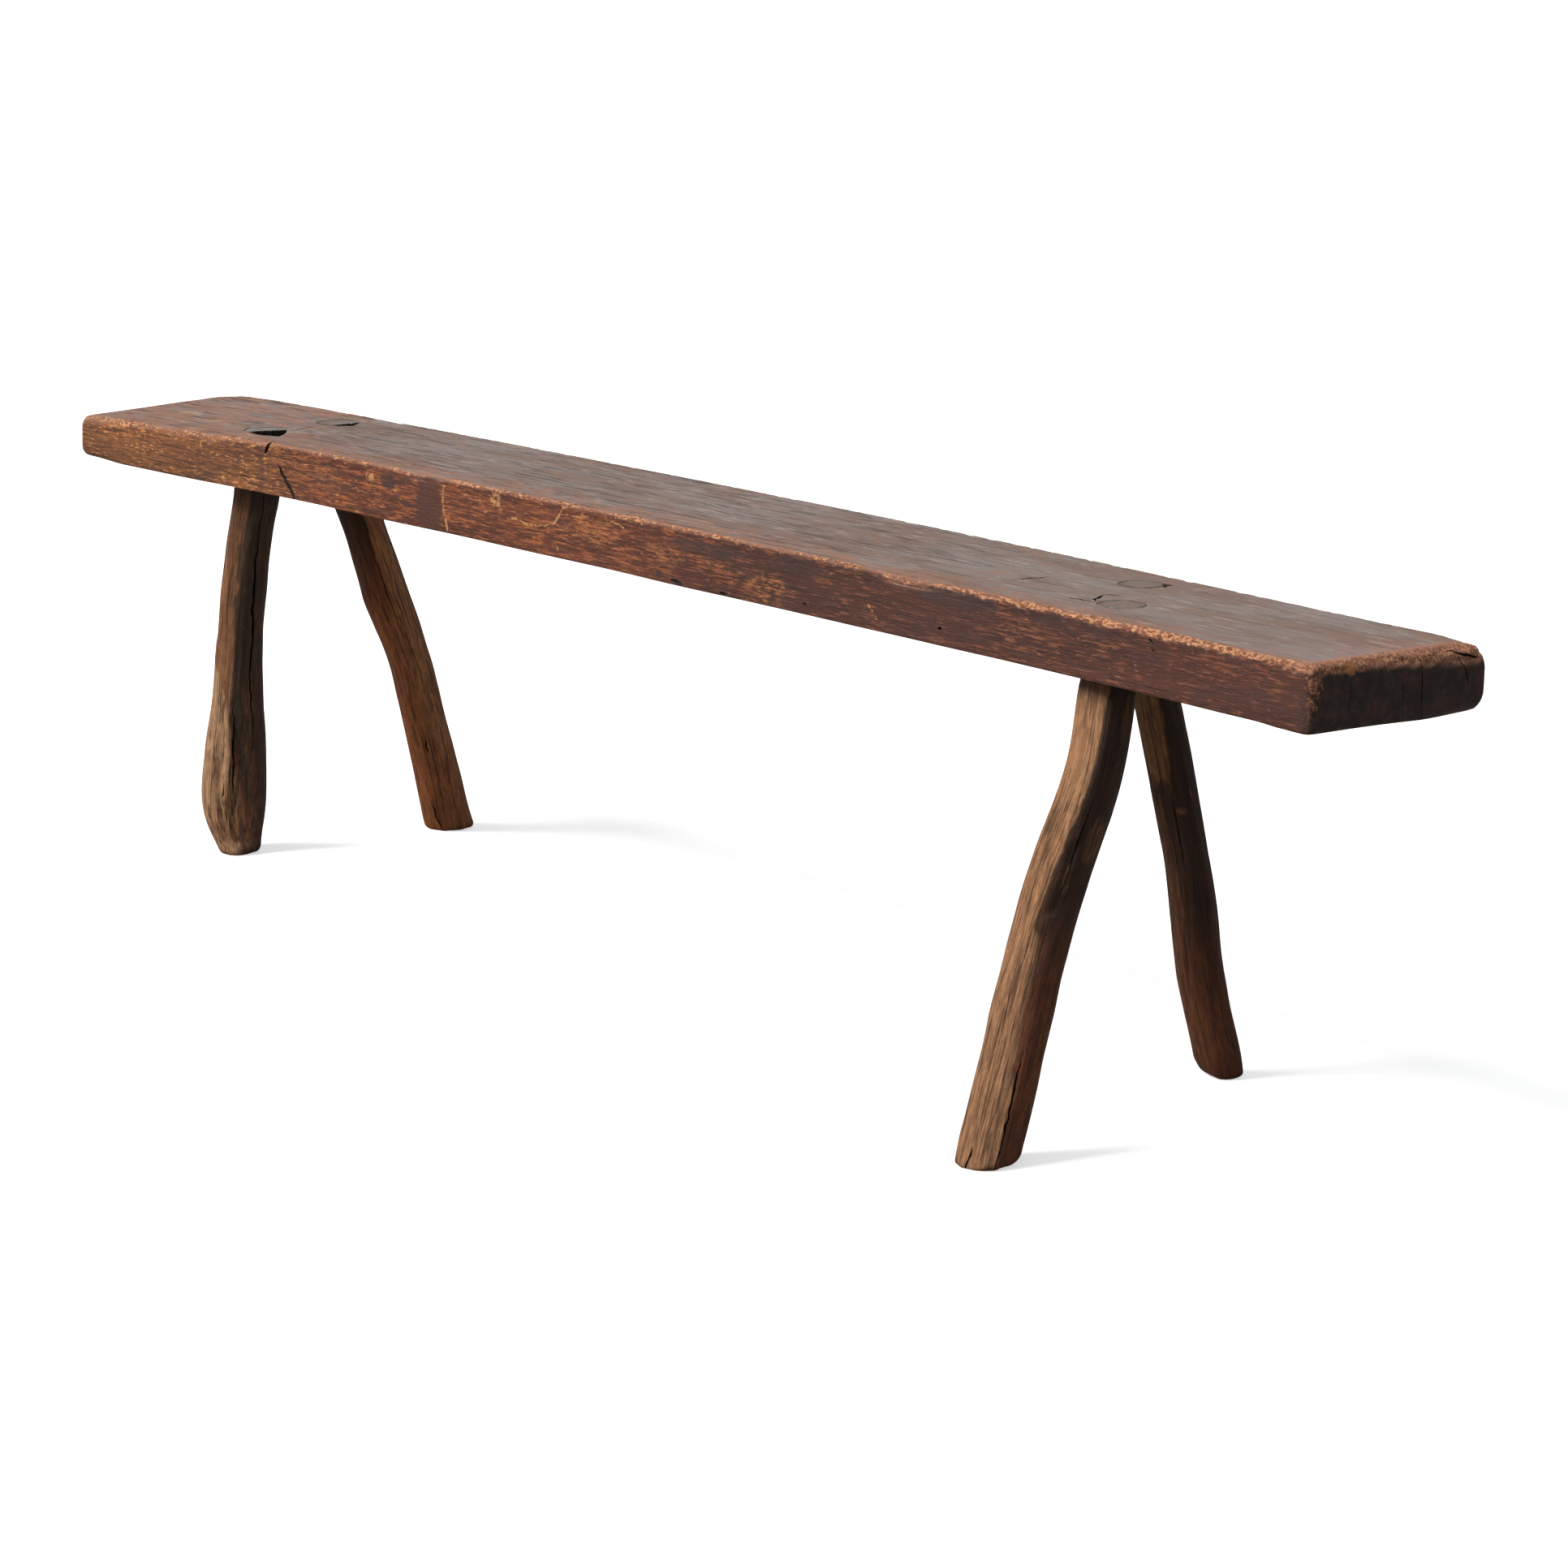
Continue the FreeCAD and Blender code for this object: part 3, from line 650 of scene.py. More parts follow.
def use(group, *values):
    """Place a shared effect in the tree at hand."""
    return put("ShaderNodeGroup", *values, node_tree=bpy.data.node_groups[group])


def new_material(name):
    """A new material. Gives the material, its tree and its shader."""
    material = bpy.data.materials.new(name)
    material.use_nodes = True
    tree = material.node_tree
    return material, tree, tree.nodes["Principled BSDF"]


def read(name, output="Fac"):
    """A value kept with the points, as a number unless the output named is another."""
    return put("ShaderNodeAttribute", attribute_name=name)[output]


def dress(shader, colour, specular, roughness, relief, strength, distance):
    """Lead the finished colour, roughness and relief of a wood to its shader."""
    join(colour, shader.inputs["Base Color"])
    shader.inputs["Specular IOR Level"].default_value = specular
    join(roughness, shader.inputs["Roughness"])
    join(put("ShaderNodeBump", strength, distance, None, relief)[0], shader.inputs["Normal"])


seat_wood, tree, shader = new_material("stained_seat_wood")
place = read("grain_place", "Vector")
edge = read("edge")
hollow = read("hollow")
spot_x, spot_y, spot_z = put("ShaderNodeSeparateXYZ", place)
facing = put("ShaderNodeSeparateXYZ", put("ShaderNodeNewGeometry")["Normal"])
to_top = slope(facing["Z"], 0.5, 0.85)
to_front = slope(facing["Y"], -0.6, -0.9)
to_ends = slope(maths("ABSOLUTE", facing["X"]), 0.55, 0.85)
coarse = use("long_grain", place, 0.06, 0.0035)
fine = use("long_grain", place, 0.016, 0.0009)
right_share = slope(spot_x, -0.2, 0.4)
left_share = slope(spot_x, -0.46, -0.6)


def streaks(stretch, low, high, add=0.0, detail=4.0):
    """Short strokes along the grain, as a mask."""
    return slope(maths("ADD", drawn(place, stretch, detail, 0.66), add), low, high)


# The sides: red-brown stain full of short orange strokes, which thin out towards the right,
# and golden wood with dark grain lines at the worn left end
field = times_plus(drawn(place, (11, 34, 34), 3), 0.26, -0.13)
more = times_plus(right_share, -0.03, field)
more = times_plus(left_share, 0.045, more)
base = tint(coarse["Bands"], (0.092, 0.022, 0.011), (0.152, 0.04, 0.017))
dull = tint(coarse["Bands"], (0.056, 0.018, 0.012), (0.088, 0.027, 0.016))
golden = tint(coarse["Bands"], (0.098, 0.032, 0.012), (0.15, 0.053, 0.02))
base = tint(left_share, tint(right_share, base, dull), golden)
orange = tint(right_share, (0.35, 0.104, 0.032), (0.235, 0.076, 0.036))
orange = tint(left_share, orange, (0.262, 0.094, 0.027))
gold = tint(right_share, (0.62, 0.26, 0.085), (0.38, 0.15, 0.075))
side = tint(streaks((50, 520, 520), 0.47, 0.63, more, 3), base, orange)
side = tint(streaks((90, 480, 480), 0.605, 0.69, more, 3), side, gold)
grain_lines = streaks((13, 380, 380), 0.55, 0.61, 0, 2)
side = tint(times(grain_lines, 0.66), side, (0.045, 0.017, 0.011))
smoke = drawn(vectors("ADD", place, (7.3, 2.9, 0)), (9, 22, 30), 4)
smoke = slope(times_plus(right_share, 0.05, smoke), 0.54, 0.7)
side = tint(times(smoke, 0.55), side, (0.062, 0.026, 0.022))

# The top: weathered grey brown, with dark and pale strokes along the grain, a reddish border
# and a warmer left end
veil = drawn(place, (6, 20, 20), 4)
top = tint(slope(veil, 0.4, 0.6), (0.208, 0.136, 0.108), (0.242, 0.19, 0.171))
border_reach = slope(spot_x, 0.1, 0.6, plank_low.y + 0.064, plank_low.y + 0.04)
wavering = times_plus(veil, 0.06, maths("SUBTRACT", spot_y, 0.03))
front_border = slope(wavering, border_reach, plank_low.y + 0.006)
warm = larger(front_border, slope(spot_x, -0.6, -0.72))
rust = drawn(vectors("ADD", place, (3.1, 1.7, 0)), (22, 60, 60), 5, 0.65)
rust = slope(times_plus(warm, 0.15, rust), 0.54, 0.7)
rust = times(rust, slope(spot_x, 0.4, 0.8, 0.8, 0.4))
top = tint(rust, top, (0.305, 0.146, 0.092))
furrows = streaks((15, 190, 190), 0.54, 0.61, 0, 5)
furrows = times(furrows, slope(spot_x, 0.15, 0.65, 1, 0.4))
top = tint(times(furrows, 0.72), top, (0.066, 0.04, 0.033))
pale_strokes = streaks((26, 140, 120), 0.55, 0.67)
top = tint(times(pale_strokes, 0.5), top, (0.46, 0.37, 0.32))

colour = tint(to_top, side, top)
end_grain = slope(cloud(place, 110, 6, 0.7), 0.4, 0.66)
end_grain = tint(end_grain, (0.011, 0.005, 0.004), (0.052, 0.019, 0.011))
end_left = tint(slope(spot_x, 0, -0.5), end_grain, side)
colour = tint(to_ends, colour, end_left)
edge_amount = times_plus(slope(spot_x, 0.25, 0.85), 0.22, 0.5)
edge_amount = times_plus(cloud(place, 11, 2, 0.5), 0.4, edge_amount)
right_end = slope(spot_x, HALF_LENGTH - 0.045, HALF_LENGTH - 0.01)
not_back = larger(slope(spot_y, plank_high.y - 0.01, plank_high.y - 0.036), right_end)
end_border = slope(cloud(place, 60, 5, 0.65), 0.4, 0.62, 0, 0.7)
end_border = times(end_border, slope(spot_x, HALF_LENGTH - 0.11, HALF_LENGTH - 0.02))
flush = larger(times(front_border, 0.6), end_border)
flush = larger(slope(edge, 0, 0.7), flush)
flush = times(flush, times_plus(right_end, 0.4, 0.5))
flush = times(flush, not_back)
upward = slope(facing["Z"], 0.15, 0.6)
flush_wood = tint(right_end, (0.33, 0.148, 0.088), (0.43, 0.2, 0.12))
colour = tint(times(flush, upward), colour, flush_wood)
corner = times(slope(spot_x, HALF_LENGTH - 0.02, HALF_LENGTH - 0.006),
               slope(spot_y, plank_low.y + 0.03, plank_low.y + 0.006))
corner = times(corner, slope(spot_z, 0.395, 0.425, 0.45, 0.8))
worn_edge = times(times(front_border, to_top), 0.56)
worn_edge = larger(worn_edge, larger(edge, corner))
bare = use("bare_edge", place, worn_edge, edge_amount)["Mask"]
bare = times(bare, not_back)
bare = times(bare, times_plus(right_end, -0.15, 0.95))
crumbled = cloud(vectors("MULTIPLY", place, (0.5, 1, 1)), 420, 3, 0.6)
brightest = tint(right_end, (0.7, 0.35, 0.18), (0.6, 0.29, 0.155))
bare_wood = tint(slope(crumbled, 0.4, 0.66), (0.19, 0.068, 0.035), brightest)
colour = tint(bare, colour, bare_wood)
# Painted shade: cracks, checks and socket walls are darkened with their depth under the top.
colour = tint(slope(hollow, 0.01, 0.16), colour, (0.01, 0.007, 0.006))

# Stains and rubbed patches: middle, reach, how ragged the outline is, colour, strength, and the
# mask that each keeps to. FRONT_Y lies on the front face itself.
PALE = (0.58, 0.28, 0.1)
GOLD = (0.56, 0.22, 0.07)
DARK = (0.052, 0.026, 0.024)
flecks = times(to_front, streaks((90, 460, 460), 0.46, 0.6, 0, 3))
chips = times(to_front, streaks((260, 300, 300), 0.4, 0.52, 0, 3))
for centre, reach, ragged, mark, strength, where in (
    ((-0.38, FRONT_Y, 0.438), (0.008, 0.05, 0.006), 4.0, PALE, 0.85, chips),
    ((-0.35, FRONT_Y, 0.436), (0.014, 0.05, 0.008), 0.5, DARK, 0.75, to_front),
    ((-0.279, FRONT_Y, 0.42), (0.023, 0.05, 0.034), 0.25, (0.08, 0.026, 0.017), 0.9, to_front),
    ((-0.168, FRONT_Y, 0.442), (0.008, 0.05, 0.009), 3.5, PALE, 0.85, chips),
    ((0.16, FRONT_Y, 0.437), (0.06, 0.05, 0.006), 0.9, DARK, 0.7, to_front),
    ((0.29, FRONT_Y, 0.438), (0.04, 0.05, 0.007), 0.9, DARK, 0.6, to_front),
    ((-0.01, FRONT_Y, 0.432), (0.04, 0.05, 0.014), 2.6, GOLD, 0.45, flecks),
    ((0.1, FRONT_Y, 0.424), (0.03, 0.05, 0.01), 2.6, GOLD, 0.35, flecks),
    ((0.245, FRONT_Y, 0.413), (0.032, 0.05, 0.012), 2.6, GOLD, 0.5, flecks),
    ((-0.47, FRONT_Y, 0.425), (0.05, 0.05, 0.012), 2.0, GOLD, 0.3, flecks),
    ((0.505, FRONT_Y, 0.439), (0.055, 0.05, 0.008), 0.9, DARK, 0.75, to_front),
    ((0.66, FRONT_Y, 0.438), (0.06, 0.05, 0.007), 0.9, DARK, 0.55, to_front),
    ((0.925, FRONT_Y, 0.408), (0.01, 0.05, 0.018), 0.9, DARK, 0.55, to_front),
    ((0.0904, FRONT_Y, 0.404), (0.005, 0.05, 0.004), 0.9, DARK, 0.9, to_front),
    ((-0.844, -0.003, 0.445), (0.016, 0.01, 0.02), 3.5, (0.48, 0.29, 0.14), 0.6, to_top),
    ((-0.764, -0.023, 0.445), (0.014, 0.008, 0.02), 3.5, (0.48, 0.29, 0.14), 0.5, to_top),
    ((-0.59, -0.03, 0.45), (0.03, 0.022, 0.02), 1.2, (0.28, 0.11, 0.055), 0.6, to_top),
    ((-0.578, FRONT_Y, 0.414), (0.006, 0.05, 0.03), 1.0, (0.07, 0.024, 0.018), 0.5, to_front),
    ((-0.549, FRONT_Y, 0.445), (0.014, 0.05, 0.006), 2.5, (0.45, 0.165, 0.05), 0.55, flecks),
    ((0.93, -0.04, 0.44), (0.02, 0.006, 0.005), 4.0, (0.48, 0.18, 0.05), 0.6, 1.0),
):
    mask = use("blot", place, centre, reach, ragged)["Mask"]
    mask = times(mask, times(where, strength))
    colour = tint(mask, colour, mark)
# Scratches: from where, to where and how wide
for begin, end, width in (
    ((-0.2545, FRONT_Y, 0.4425), (-0.256, FRONT_Y, 0.427), 0.0032),
    ((-0.2545, FRONT_Y, 0.422), (-0.249, FRONT_Y, 0.401), 0.0026),
    ((-0.1405, FRONT_Y, 0.4263), (-0.1157, FRONT_Y, 0.4234), 0.0018),
    ((-0.1157, FRONT_Y, 0.4234), (-0.0871, FRONT_Y, 0.4255), 0.0018),
    ((-0.0871, FRONT_Y, 0.4255), (-0.0729, FRONT_Y, 0.4314), 0.0018),
    ((-0.0729, FRONT_Y, 0.4314), (-0.058, FRONT_Y, 0.447), 0.0024),
    ((-0.044, FRONT_Y, 0.44), (-0.02, FRONT_Y, 0.4425), 0.0013),
    ((0.012, FRONT_Y, 0.444), (0.0363, FRONT_Y, 0.44), 0.0013),
    ((0.389, FRONT_Y, 0.419), (0.395, FRONT_Y, 0.4125), 0.0013),
    ((0.3985, FRONT_Y, 0.4085), (0.402, FRONT_Y, 0.405), 0.0013),
    ((0.59, FRONT_Y, 0.436), (0.592, FRONT_Y, 0.429), 0.0013),
    ((-0.0716, FRONT_Y, 0.4134), (-0.0667, FRONT_Y, 0.4055), 0.0016),
    ((-0.1164, FRONT_Y, 0.444), (-0.0917, FRONT_Y, 0.4455), 0.0016),
    ((-0.622, -0.023, 0.448), (-0.645, 0.037, 0.448), 0.005),
):
    mask = use("scratch", place, begin, end, width)["Mask"]
    mask = times(mask, slope(to_front, 0, 1, 0.34, 0.85))
    colour = tint(mask, colour, PALE)

# Gloss and relief: the top a little smoother than the sides, the bare wood rougher
roughness = times_plus(to_top, -0.1, 0.62)
roughness = times_plus(cloud(place, 40, 4, 0.6), 0.22, maths("SUBTRACT", roughness, 0.11))
roughness = times_plus(bare, 0.2, roughness)
relief = times_plus(coarse["Fibres"], 0.5, times(fine["Fibres"], 0.5))
relief = times_plus(coarse["Pores"], -0.9, relief)
relief = times_plus(furrows, times(to_top, -2.2), relief)
crumbs = cloud(place, 330, 4, 0.65)
relief = times_plus(crumbs, times_plus(edge, 3.0, 0.6), relief)
dress(shader, colour, 0.35, roughness, relief, 0.75, 0.0008)

seat.data.materials.append(seat_wood)
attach(seat, "root")
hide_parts("seat_plank")

# Legs: four natural branches, peeled and partly shaved, each driven through the seat as a
# round tenon. Their bends, swellings and hewn flats are the branch's own.
SHOW_SIDE = math.radians(-39.1)
ROUND_POINTS = 108
ROW_GAP = 0.0024
# The lowest height at which a branch is felt, how far a tenon's end lies under the top, the
# height where its middle is taken, and the depth at which a split is painted fully dark as shade
LOWEST_FELT = 0.0004
TENON_SINK = 0.0007
TOP_LEVEL = 0.449
SPLIT_HOLLOW = 0.0024
FOOT_ROWS = (0.0, 0.0004, 0.0012, 0.0024, 0.004, 0.006, 0.0084)
CAP_SHARES = (0.985, 0.95, 0.9, 0.85, 0.79, 0.73, 0.66, 0.59, 0.51, 0.43, 0.34, 0.24, 0.12)
branch_turns = np.linspace(0, 2 * math.pi, ROUND_POINTS, endpoint=False)


def across(share):
    """The turn about a leg at a share of its shown width, from 0 at the left to 1 at the right."""
    return SHOW_SIDE + np.arcsin(2 * share - 1)


def off(turns, turn):
    """Turns measured from another turn, from minus to plus half a round."""
    return (turns - turn + math.pi) % (2 * math.pi) - math.pi


# What is particular to each leg. Heights are from the floor, and places round a leg are shares
# of its shown width, from 0 at the left to 1 at the right.
# Flats: height range, place at the low and high end, and distance from the middle as a share
# of the radius. Knots: height, place, size and how far they stand out. Ridges and gouges:
# a path as heights and places, size, and how far they stand out. Pale strips are shaved wood,
# and where the long ones reach round the left side that the key light falls on, also painted
# light: their right edge as heights and places, how far they reach round to the left in
# radians, strength and softness.
# Spots: height, place, half height, half width and strength.
BRANCHES = {
    "front_left": {
        "flats": [(0.16, 0.4, 0.775, 0.8, 0.9), (0.12, 0.4, 0.275, 0.325, 0.92)],
        "knots": [(0.265, 0.375, 0.01, 0.0012), (0.118, 0.1, 0.016, 0.0022)],
        "ridges": [([(0.055, 0.4), (0.096, 0.45), (0.128, 0.44), (0.15, 0.35)], 0.0052, 0.003),
                   ([(0.01, 0.3), (0.035, 0.33), (0.075, 0.25), (0.1, 0.22)], 0.0048, -0.0042),
                   ([(0.012, 0.56), (0.04, 0.5), (0.07, 0.58), (0.105, 0.6)], 0.004, -0.0034),
                   ([(0.02, 0.42), (0.045, 0.42), (0.062, 0.36)], 0.0036, 0.0026)],
        "foot": (0.9, 0.01, 0.0035),
        "pale": [([(0.04, 0.45), (0.1, 0.45), (0.14, 0.4), (0.18, 0.2), (0.2, 0.02)], 2.7, 1.0, 0.14),
                 ([(-0.01, 0.62), (0.06, 0.66), (0.09, 0.6)], 2.7, 0.72, 0.16),
                 ([(0.13, 0.4), (0.223, 0.46), (0.283, 0.29), (0.31, 0.33)], 2.4, 0.5, 0.12),
                 ([(0.3, 0.32), (0.369, 0.4), (0.4, 0.42)], 2.4, 0.36, 0.12),
                 ([(-0.01, 0.95), (0.18, 0.84)], 0.5, 0.22, 0.15)],
        "spots": [(0.283, 0.33, 0.01, 0.1, 0.5), (0.26, 0.15, 0.025, 0.12, 0.35),
                  (0.035, 0.8, 0.03, 0.16, 0.45)],
    },
    "back_left": {
        "flats": [(0.2, 0.4, 0.6, 0.65, 0.92), (0.0, 0.24, 0.4, 0.55, 0.95)],
        "knots": [(0.251, 0.03, 0.009, 0.0012), (0.0756, 0.54, 0.006, 0.0014)],
        "ridges": [([(-0.01, 0.42), (0.034, 0.28), (0.06, 0.2)], 0.004, 0.0014)],
        "foot": (0.95, 0.006, 0.003),
        "pale": [([(0.1, 0.97), (0.36, 0.97)], 1.0, 0.6, 0.2),
                 ([(-0.01, 0.98), (0.14, 0.97)], 1.3, 0.36, 0.24)],
        "spots": [(0.0756, 0.54, 0.004, 0.08, 0.6), (0.04, 0.81, 0.004, 0.06, 0.6),
                  (0.2, 0.55, 0.06, 0.2, 0.35)],
    },
    "front_right": {
        "flats": [(0.16, 0.4, 0.1, 0.17, 0.88), (0.2, 0.4, 0.725, 0.79, 0.87),
                  (0.0, 0.18, 0.81, 0.8, 0.91), (0.0, 0.17, 0.2, 0.225, 0.93)],
        "knots": [(0.233, 0.6, 0.01, 0.0024), (0.205, 0.4, 0.012, 0.0014), (0.25, 0.78, 0.012, 0.0012)],
        "ridges": [([(0.19, 0.4), (0.2, 0.31), (0.25, 0.36), (0.31, 0.42), (0.4, 0.47)], 0.005, 0.0012),
                   ([(0.205, 0.52), (0.23, 0.55), (0.262, 0.52)], 0.0035, -0.0018)],
        "foot": (0.95, 0.008, 0.0035),
        "pale": [([(0.27, 0.39), (0.304, 0.41), (0.336, 0.46), (0.43, 0.46)], 2.6, 1.0, 0.05),
                 ([(0.18, 0.36), (0.196, 0.31), (0.25, 0.36), (0.28, 0.4)], 2.6, 0.8, 0.06),
                 ([(-0.01, 0.6), (0.06, 0.58), (0.12, 0.47), (0.165, 0.47), (0.188, 0.4), (0.205, 0.2)],
                  2.6, 0.85, 0.11)],
        "spots": [(0.265, 0.86, 0.022, 0.22, 0.32), (0.36, 0.9, 0.03, 0.12, 0.2),
                  (0.236, 0.58, 0.01, 0.06, 0.4), (0.224, 0.63, 0.006, 0.05, 0.35)],
    },
    "back_right": {
        "flats": [(0.22, 0.4, 0.35, 0.375, 0.91), (0.05, 0.3, 0.725, 0.675, 0.92)],
        "knots": [(0.3, 0.575, 0.009, 0.0012), (0.25, 0.56, 0.006, 0.0012), (0.16, 0.35, 0.012, 0.0014)],
        "ridges": [([(0.1, 0.5), (0.2, 0.52), (0.27, 0.6)], 0.0045, 0.001)],
        "foot": (0.025, 0.018, 0.0035),
        "pale": [([(0.277, 0.45), (0.29, 0.52), (0.346, 0.55), (0.43, 0.6)], 1.9, 0.85, 0.1),
                 ([(-0.01, 0.4), (0.25, 0.22)], 1.2, 0.28, 0.2)],
        "spots": [(0.25, 0.54, 0.004, 0.14, 0.8), (0.265, 0.82, 0.004, 0.04, 0.5),
                  (0.06, 0.6, 0.06, 0.3, 0.3)],
    },
}


def within(value, low, high, before, after, inner):
    """1 between low and high, fading out smoothly beyond both."""
    return rise(value, low - before, low + inner) * rise(-value, -high - after, -high + inner)


def pale_and_lit_share(traits, height, place, seed):
    """How pale a ring of a branch is, from 0 to 1: shaved or rubbed bare, and on the key-lit left side also
    painted light.
    """
    shade = np.zeros(ROUND_POINTS)
    waver = 0.1 * lumps(place, (0.03, 0.012, 0.012), seed)
    waver += 0.05 * lumps(place, (0.008, 0.005, 0.005), seed + 1)
    for line, arc, strength, soft in traits["pale"]:
        levels, shares = zip(*line)
        here = within(height + 0.15 * waver, levels[0], levels[-1], 0.012, 0.034, 0.01)
        gap = off(branch_turns, across(np.interp(height, levels, shares))) + waver
        strip = rise(-gap, -soft, soft) * rise(gap + arc, -0.15, 0.15)
        shade = np.maximum(shade, strength * here * strip)
    for level, share, tall, wide, strength in traits["spots"]:
        gap = np.hypot((height - level) / tall, off(branch_turns, across(share)) / (2 * wide)) + 2 * waver
        shade = np.maximum(shade, strength * rise(-gap, -1.2, -0.6))
    return shade


def skin_of_branch(leg, seed):
    """Rings of points over the branch and its tenon, with the fibre places and paleness of each, which is
    bare wood and, on the key-lit left side, painted light.
    """
    traits = BRANCHES[leg]
    cad_skin = surface(frame["nodes"][f"leg_{leg}"])
    foot = [mount["pos_m"] for mount in frame["record"]["mounts"] if mount["name"] == f"foot_{leg}"][0]
    foot_share, foot_wear, foot_round = traits["foot"]
    heights = list(FOOT_ROWS) + list(np.arange(FOOT_ROWS[-1] + ROW_GAP, TENON_LOW - 0.004, ROW_GAP))
    middle = np.array([foot[0], foot[1], 0.0])
    circle = np.stack([np.cos(branch_turns), np.sin(branch_turns)], axis=1)
    rings = []
    places = []
    pale = []
    for height in heights:
        middle, radii = section(cad_skin, middle[0], middle[1], max(height, LOWEST_FELT), branch_turns)
        place = np.concatenate([np.full((ROUND_POINTS, 1), height), circle * radii[:, None]], axis=1)
        mean = radii.mean()
        natural = rise(TENON_LOW - height, 0.0, 0.03)
        out = radii - 0.0004 * natural
        for low, high, low_share, high_share, reach in traits["flats"]:
            present = within(height, low, high, 0.03, 0.03, 0.02)
            turn = across(blend(low_share, high_share, (height - low) / (high - low)))
            turn += 0.06 * lumps([[height, seed, 0]], 0.05, seed)[0]
            flat = mean * reach / np.maximum(np.cos(off(branch_turns, turn)), 0.05)
            out = np.where(flat < out, blend(out, flat, present * natural), out)
        out += natural * 0.0007 * lumps(place, (0.03, 0.016, 0.016), seed + 1)
        out += natural * 0.0005 * lumps(place, (0.07, 0.0055, 0.0055), seed + 2)
        out += natural * 0.00025 * lumps(place, (0.02, 0.0035, 0.0035), seed + 3)
        for level, share, size, proud in traits["knots"]:
            gap = np.hypot((height - level) / 1.3, off(branch_turns, across(share)) * mean) / size
            out += proud * (np.exp(-gap * gap) - 0.75 * np.exp(-(gap * 2.6) ** 2))
        for line, size, proud in traits["ridges"]:
            levels, shares = zip(*line)
            here = within(height, levels[0], levels[-1], 0.006, 0.006, 0.006)
            gap = off(branch_turns, across(np.interp(height, levels, shares))) * mean / size
            out += proud * here * np.exp(-gap * gap)
        edge = foot_round + foot_wear * np.clip(np.cos(off(branch_turns, across(foot_share))), 0, 1) ** 2
        edge = edge * (1 + 0.25 * lumps(place, 0.012, seed + 4))
        short = np.clip(edge - height, 0, None)
        out -= edge - np.sqrt(np.maximum(edge ** 2 - short ** 2, 0))
        rings.append(np.column_stack([middle[:2] + circle * out[:, None], np.full(ROUND_POINTS, height)]))
        places.append(place)
        pale.append(pale_and_lit_share(traits, height, place, seed + 5))
    return rings, places, pale


def add_tenon(leg, rings, places, pale):
    """Carry the rings on through the socket to the weathered end. Gives the end's height too."""
    top_x, top_y = tenon_at(leg, TOP_LEVEL)[0]
    break_x, turned, sink = BROKEN_TENONS[leg]

    def tenon_top(x, y):
        """Height of the tenon's end. The left legs have lost the right part of theirs."""
        slip = x - top_x - turned * (y - top_y) - break_x
        return seat_top(x, y) - TENON_SINK - sink * rise(slip, -0.0006, 0.0012)

    top = seat_top(top_x, top_y)
    heights = [*np.arange(TENON_LOW, top - 0.013, 0.004), *(top - np.arange(0.012, 0.0, -0.0015))]
    for number, height in enumerate(heights):
        ring = mouth_ring(leg, height, branch_turns, 0.0, ("left",))
        highest = tenon_top(ring[:, 0], ring[:, 1]) - 0.0003 * (len(heights) - number)
        ring[:, 2] = np.minimum(ring[:, 2], highest)
        ring[:, :2] = blend(ring[:, :2], [top_x, top_y], 0.02 * rise(height, 0.445, 0.45))
        rings.append(ring)
        places.append(np.roll(ring, 1, axis=1))
        pale.append(np.ones(ROUND_POINTS))
    return tenon_top


def close_with_caps(name, rings, places, pale, top_height):
    """Join rings to one closed mesh, with finely divided ends below and above."""
    for first in (True, False):
        rim = rings[0] if first else rings[-1]
        middle = rim.mean(axis=0)
        cap_rings = []
        for share in CAP_SHARES:
            ring = middle + (rim - middle) * share
            if not first:
                ring[:, 2] = top_height(ring[:, 0], ring[:, 1])
            cap_rings.append(ring)
        cap_places = [np.roll(ring, 1, axis=1) for ring in cap_rings]
        nearness = [np.full(len(rim), share) for share in CAP_SHARES]
        if first:
            rings, places = cap_rings[::-1] + rings, cap_places[::-1] + places
            pale = [np.zeros(len(rim))] * len(CAP_SHARES) + pale
        else:
            rings, places, pale = rings + cap_rings, places + cap_places, pale + nearness
    return tube(name, rings), np.concatenate(places), np.concatenate(pale)


# Where the right part of a tenon's end has broken away: how far from its middle, how the break is
# turned, and how deep it is. The right tenons are whole.
BROKEN_TENONS = {
    "front_left": (0.008, 0.38, 0.014),
    "back_left": (0.015, 0.0, 0.011),
    "front_right": (0.1, 0.0, 0.0),
    "back_right": (0.1, 0.0, 0.0),
}
# Long splits: leg, path as heights and places across the shown width, width and depth
SPLITS = [
    ("front_left", [(0.385, 0.73), (0.303, 0.76), (0.27, 0.79), (0.2235, 0.84), (0.188, 0.82), (0.146, 0.855),
                    (0.11, 0.86)], 0.0034, 0.01),
    ("front_left", [(0.17, 0.47), (0.12, 0.5), (0.085, 0.52), (0.05, 0.55)], 0.0026, 0.005),
    ("front_left", [(0.078, 0.36), (0.052, 0.34), (0.03, 0.42)], 0.0028, 0.005),
    ("front_right", [(0.097, 0.62), (0.066, 0.62), (0.03, 0.625), (-0.002, 0.63)], 0.0024, 0.014),
    ("front_right", [(0.018, 0.16), (0.008, 0.15), (-0.001, 0.14)], 0.0026, 0.006),
    ("front_right", [(0.3, 0.58), (0.262, 0.56), (0.225, 0.6)], 0.0016, 0.003),
    ("back_left", [(0.034, 0.27), (0.015, 0.33), (-0.001, 0.4)], 0.0026, 0.006),
    ("back_left", [(0.104, 0.46), (0.0985, 0.46), (0.09, 0.47)], 0.0026, 0.004),
    ("back_left", [(0.33, 0.55), (0.27, 0.6), (0.2, 0.62)], 0.0014, 0.003),
    ("back_right", [(0.27, 0.42), (0.23, 0.4), (0.19, 0.42)], 0.0014, 0.003),
]
legs = {}
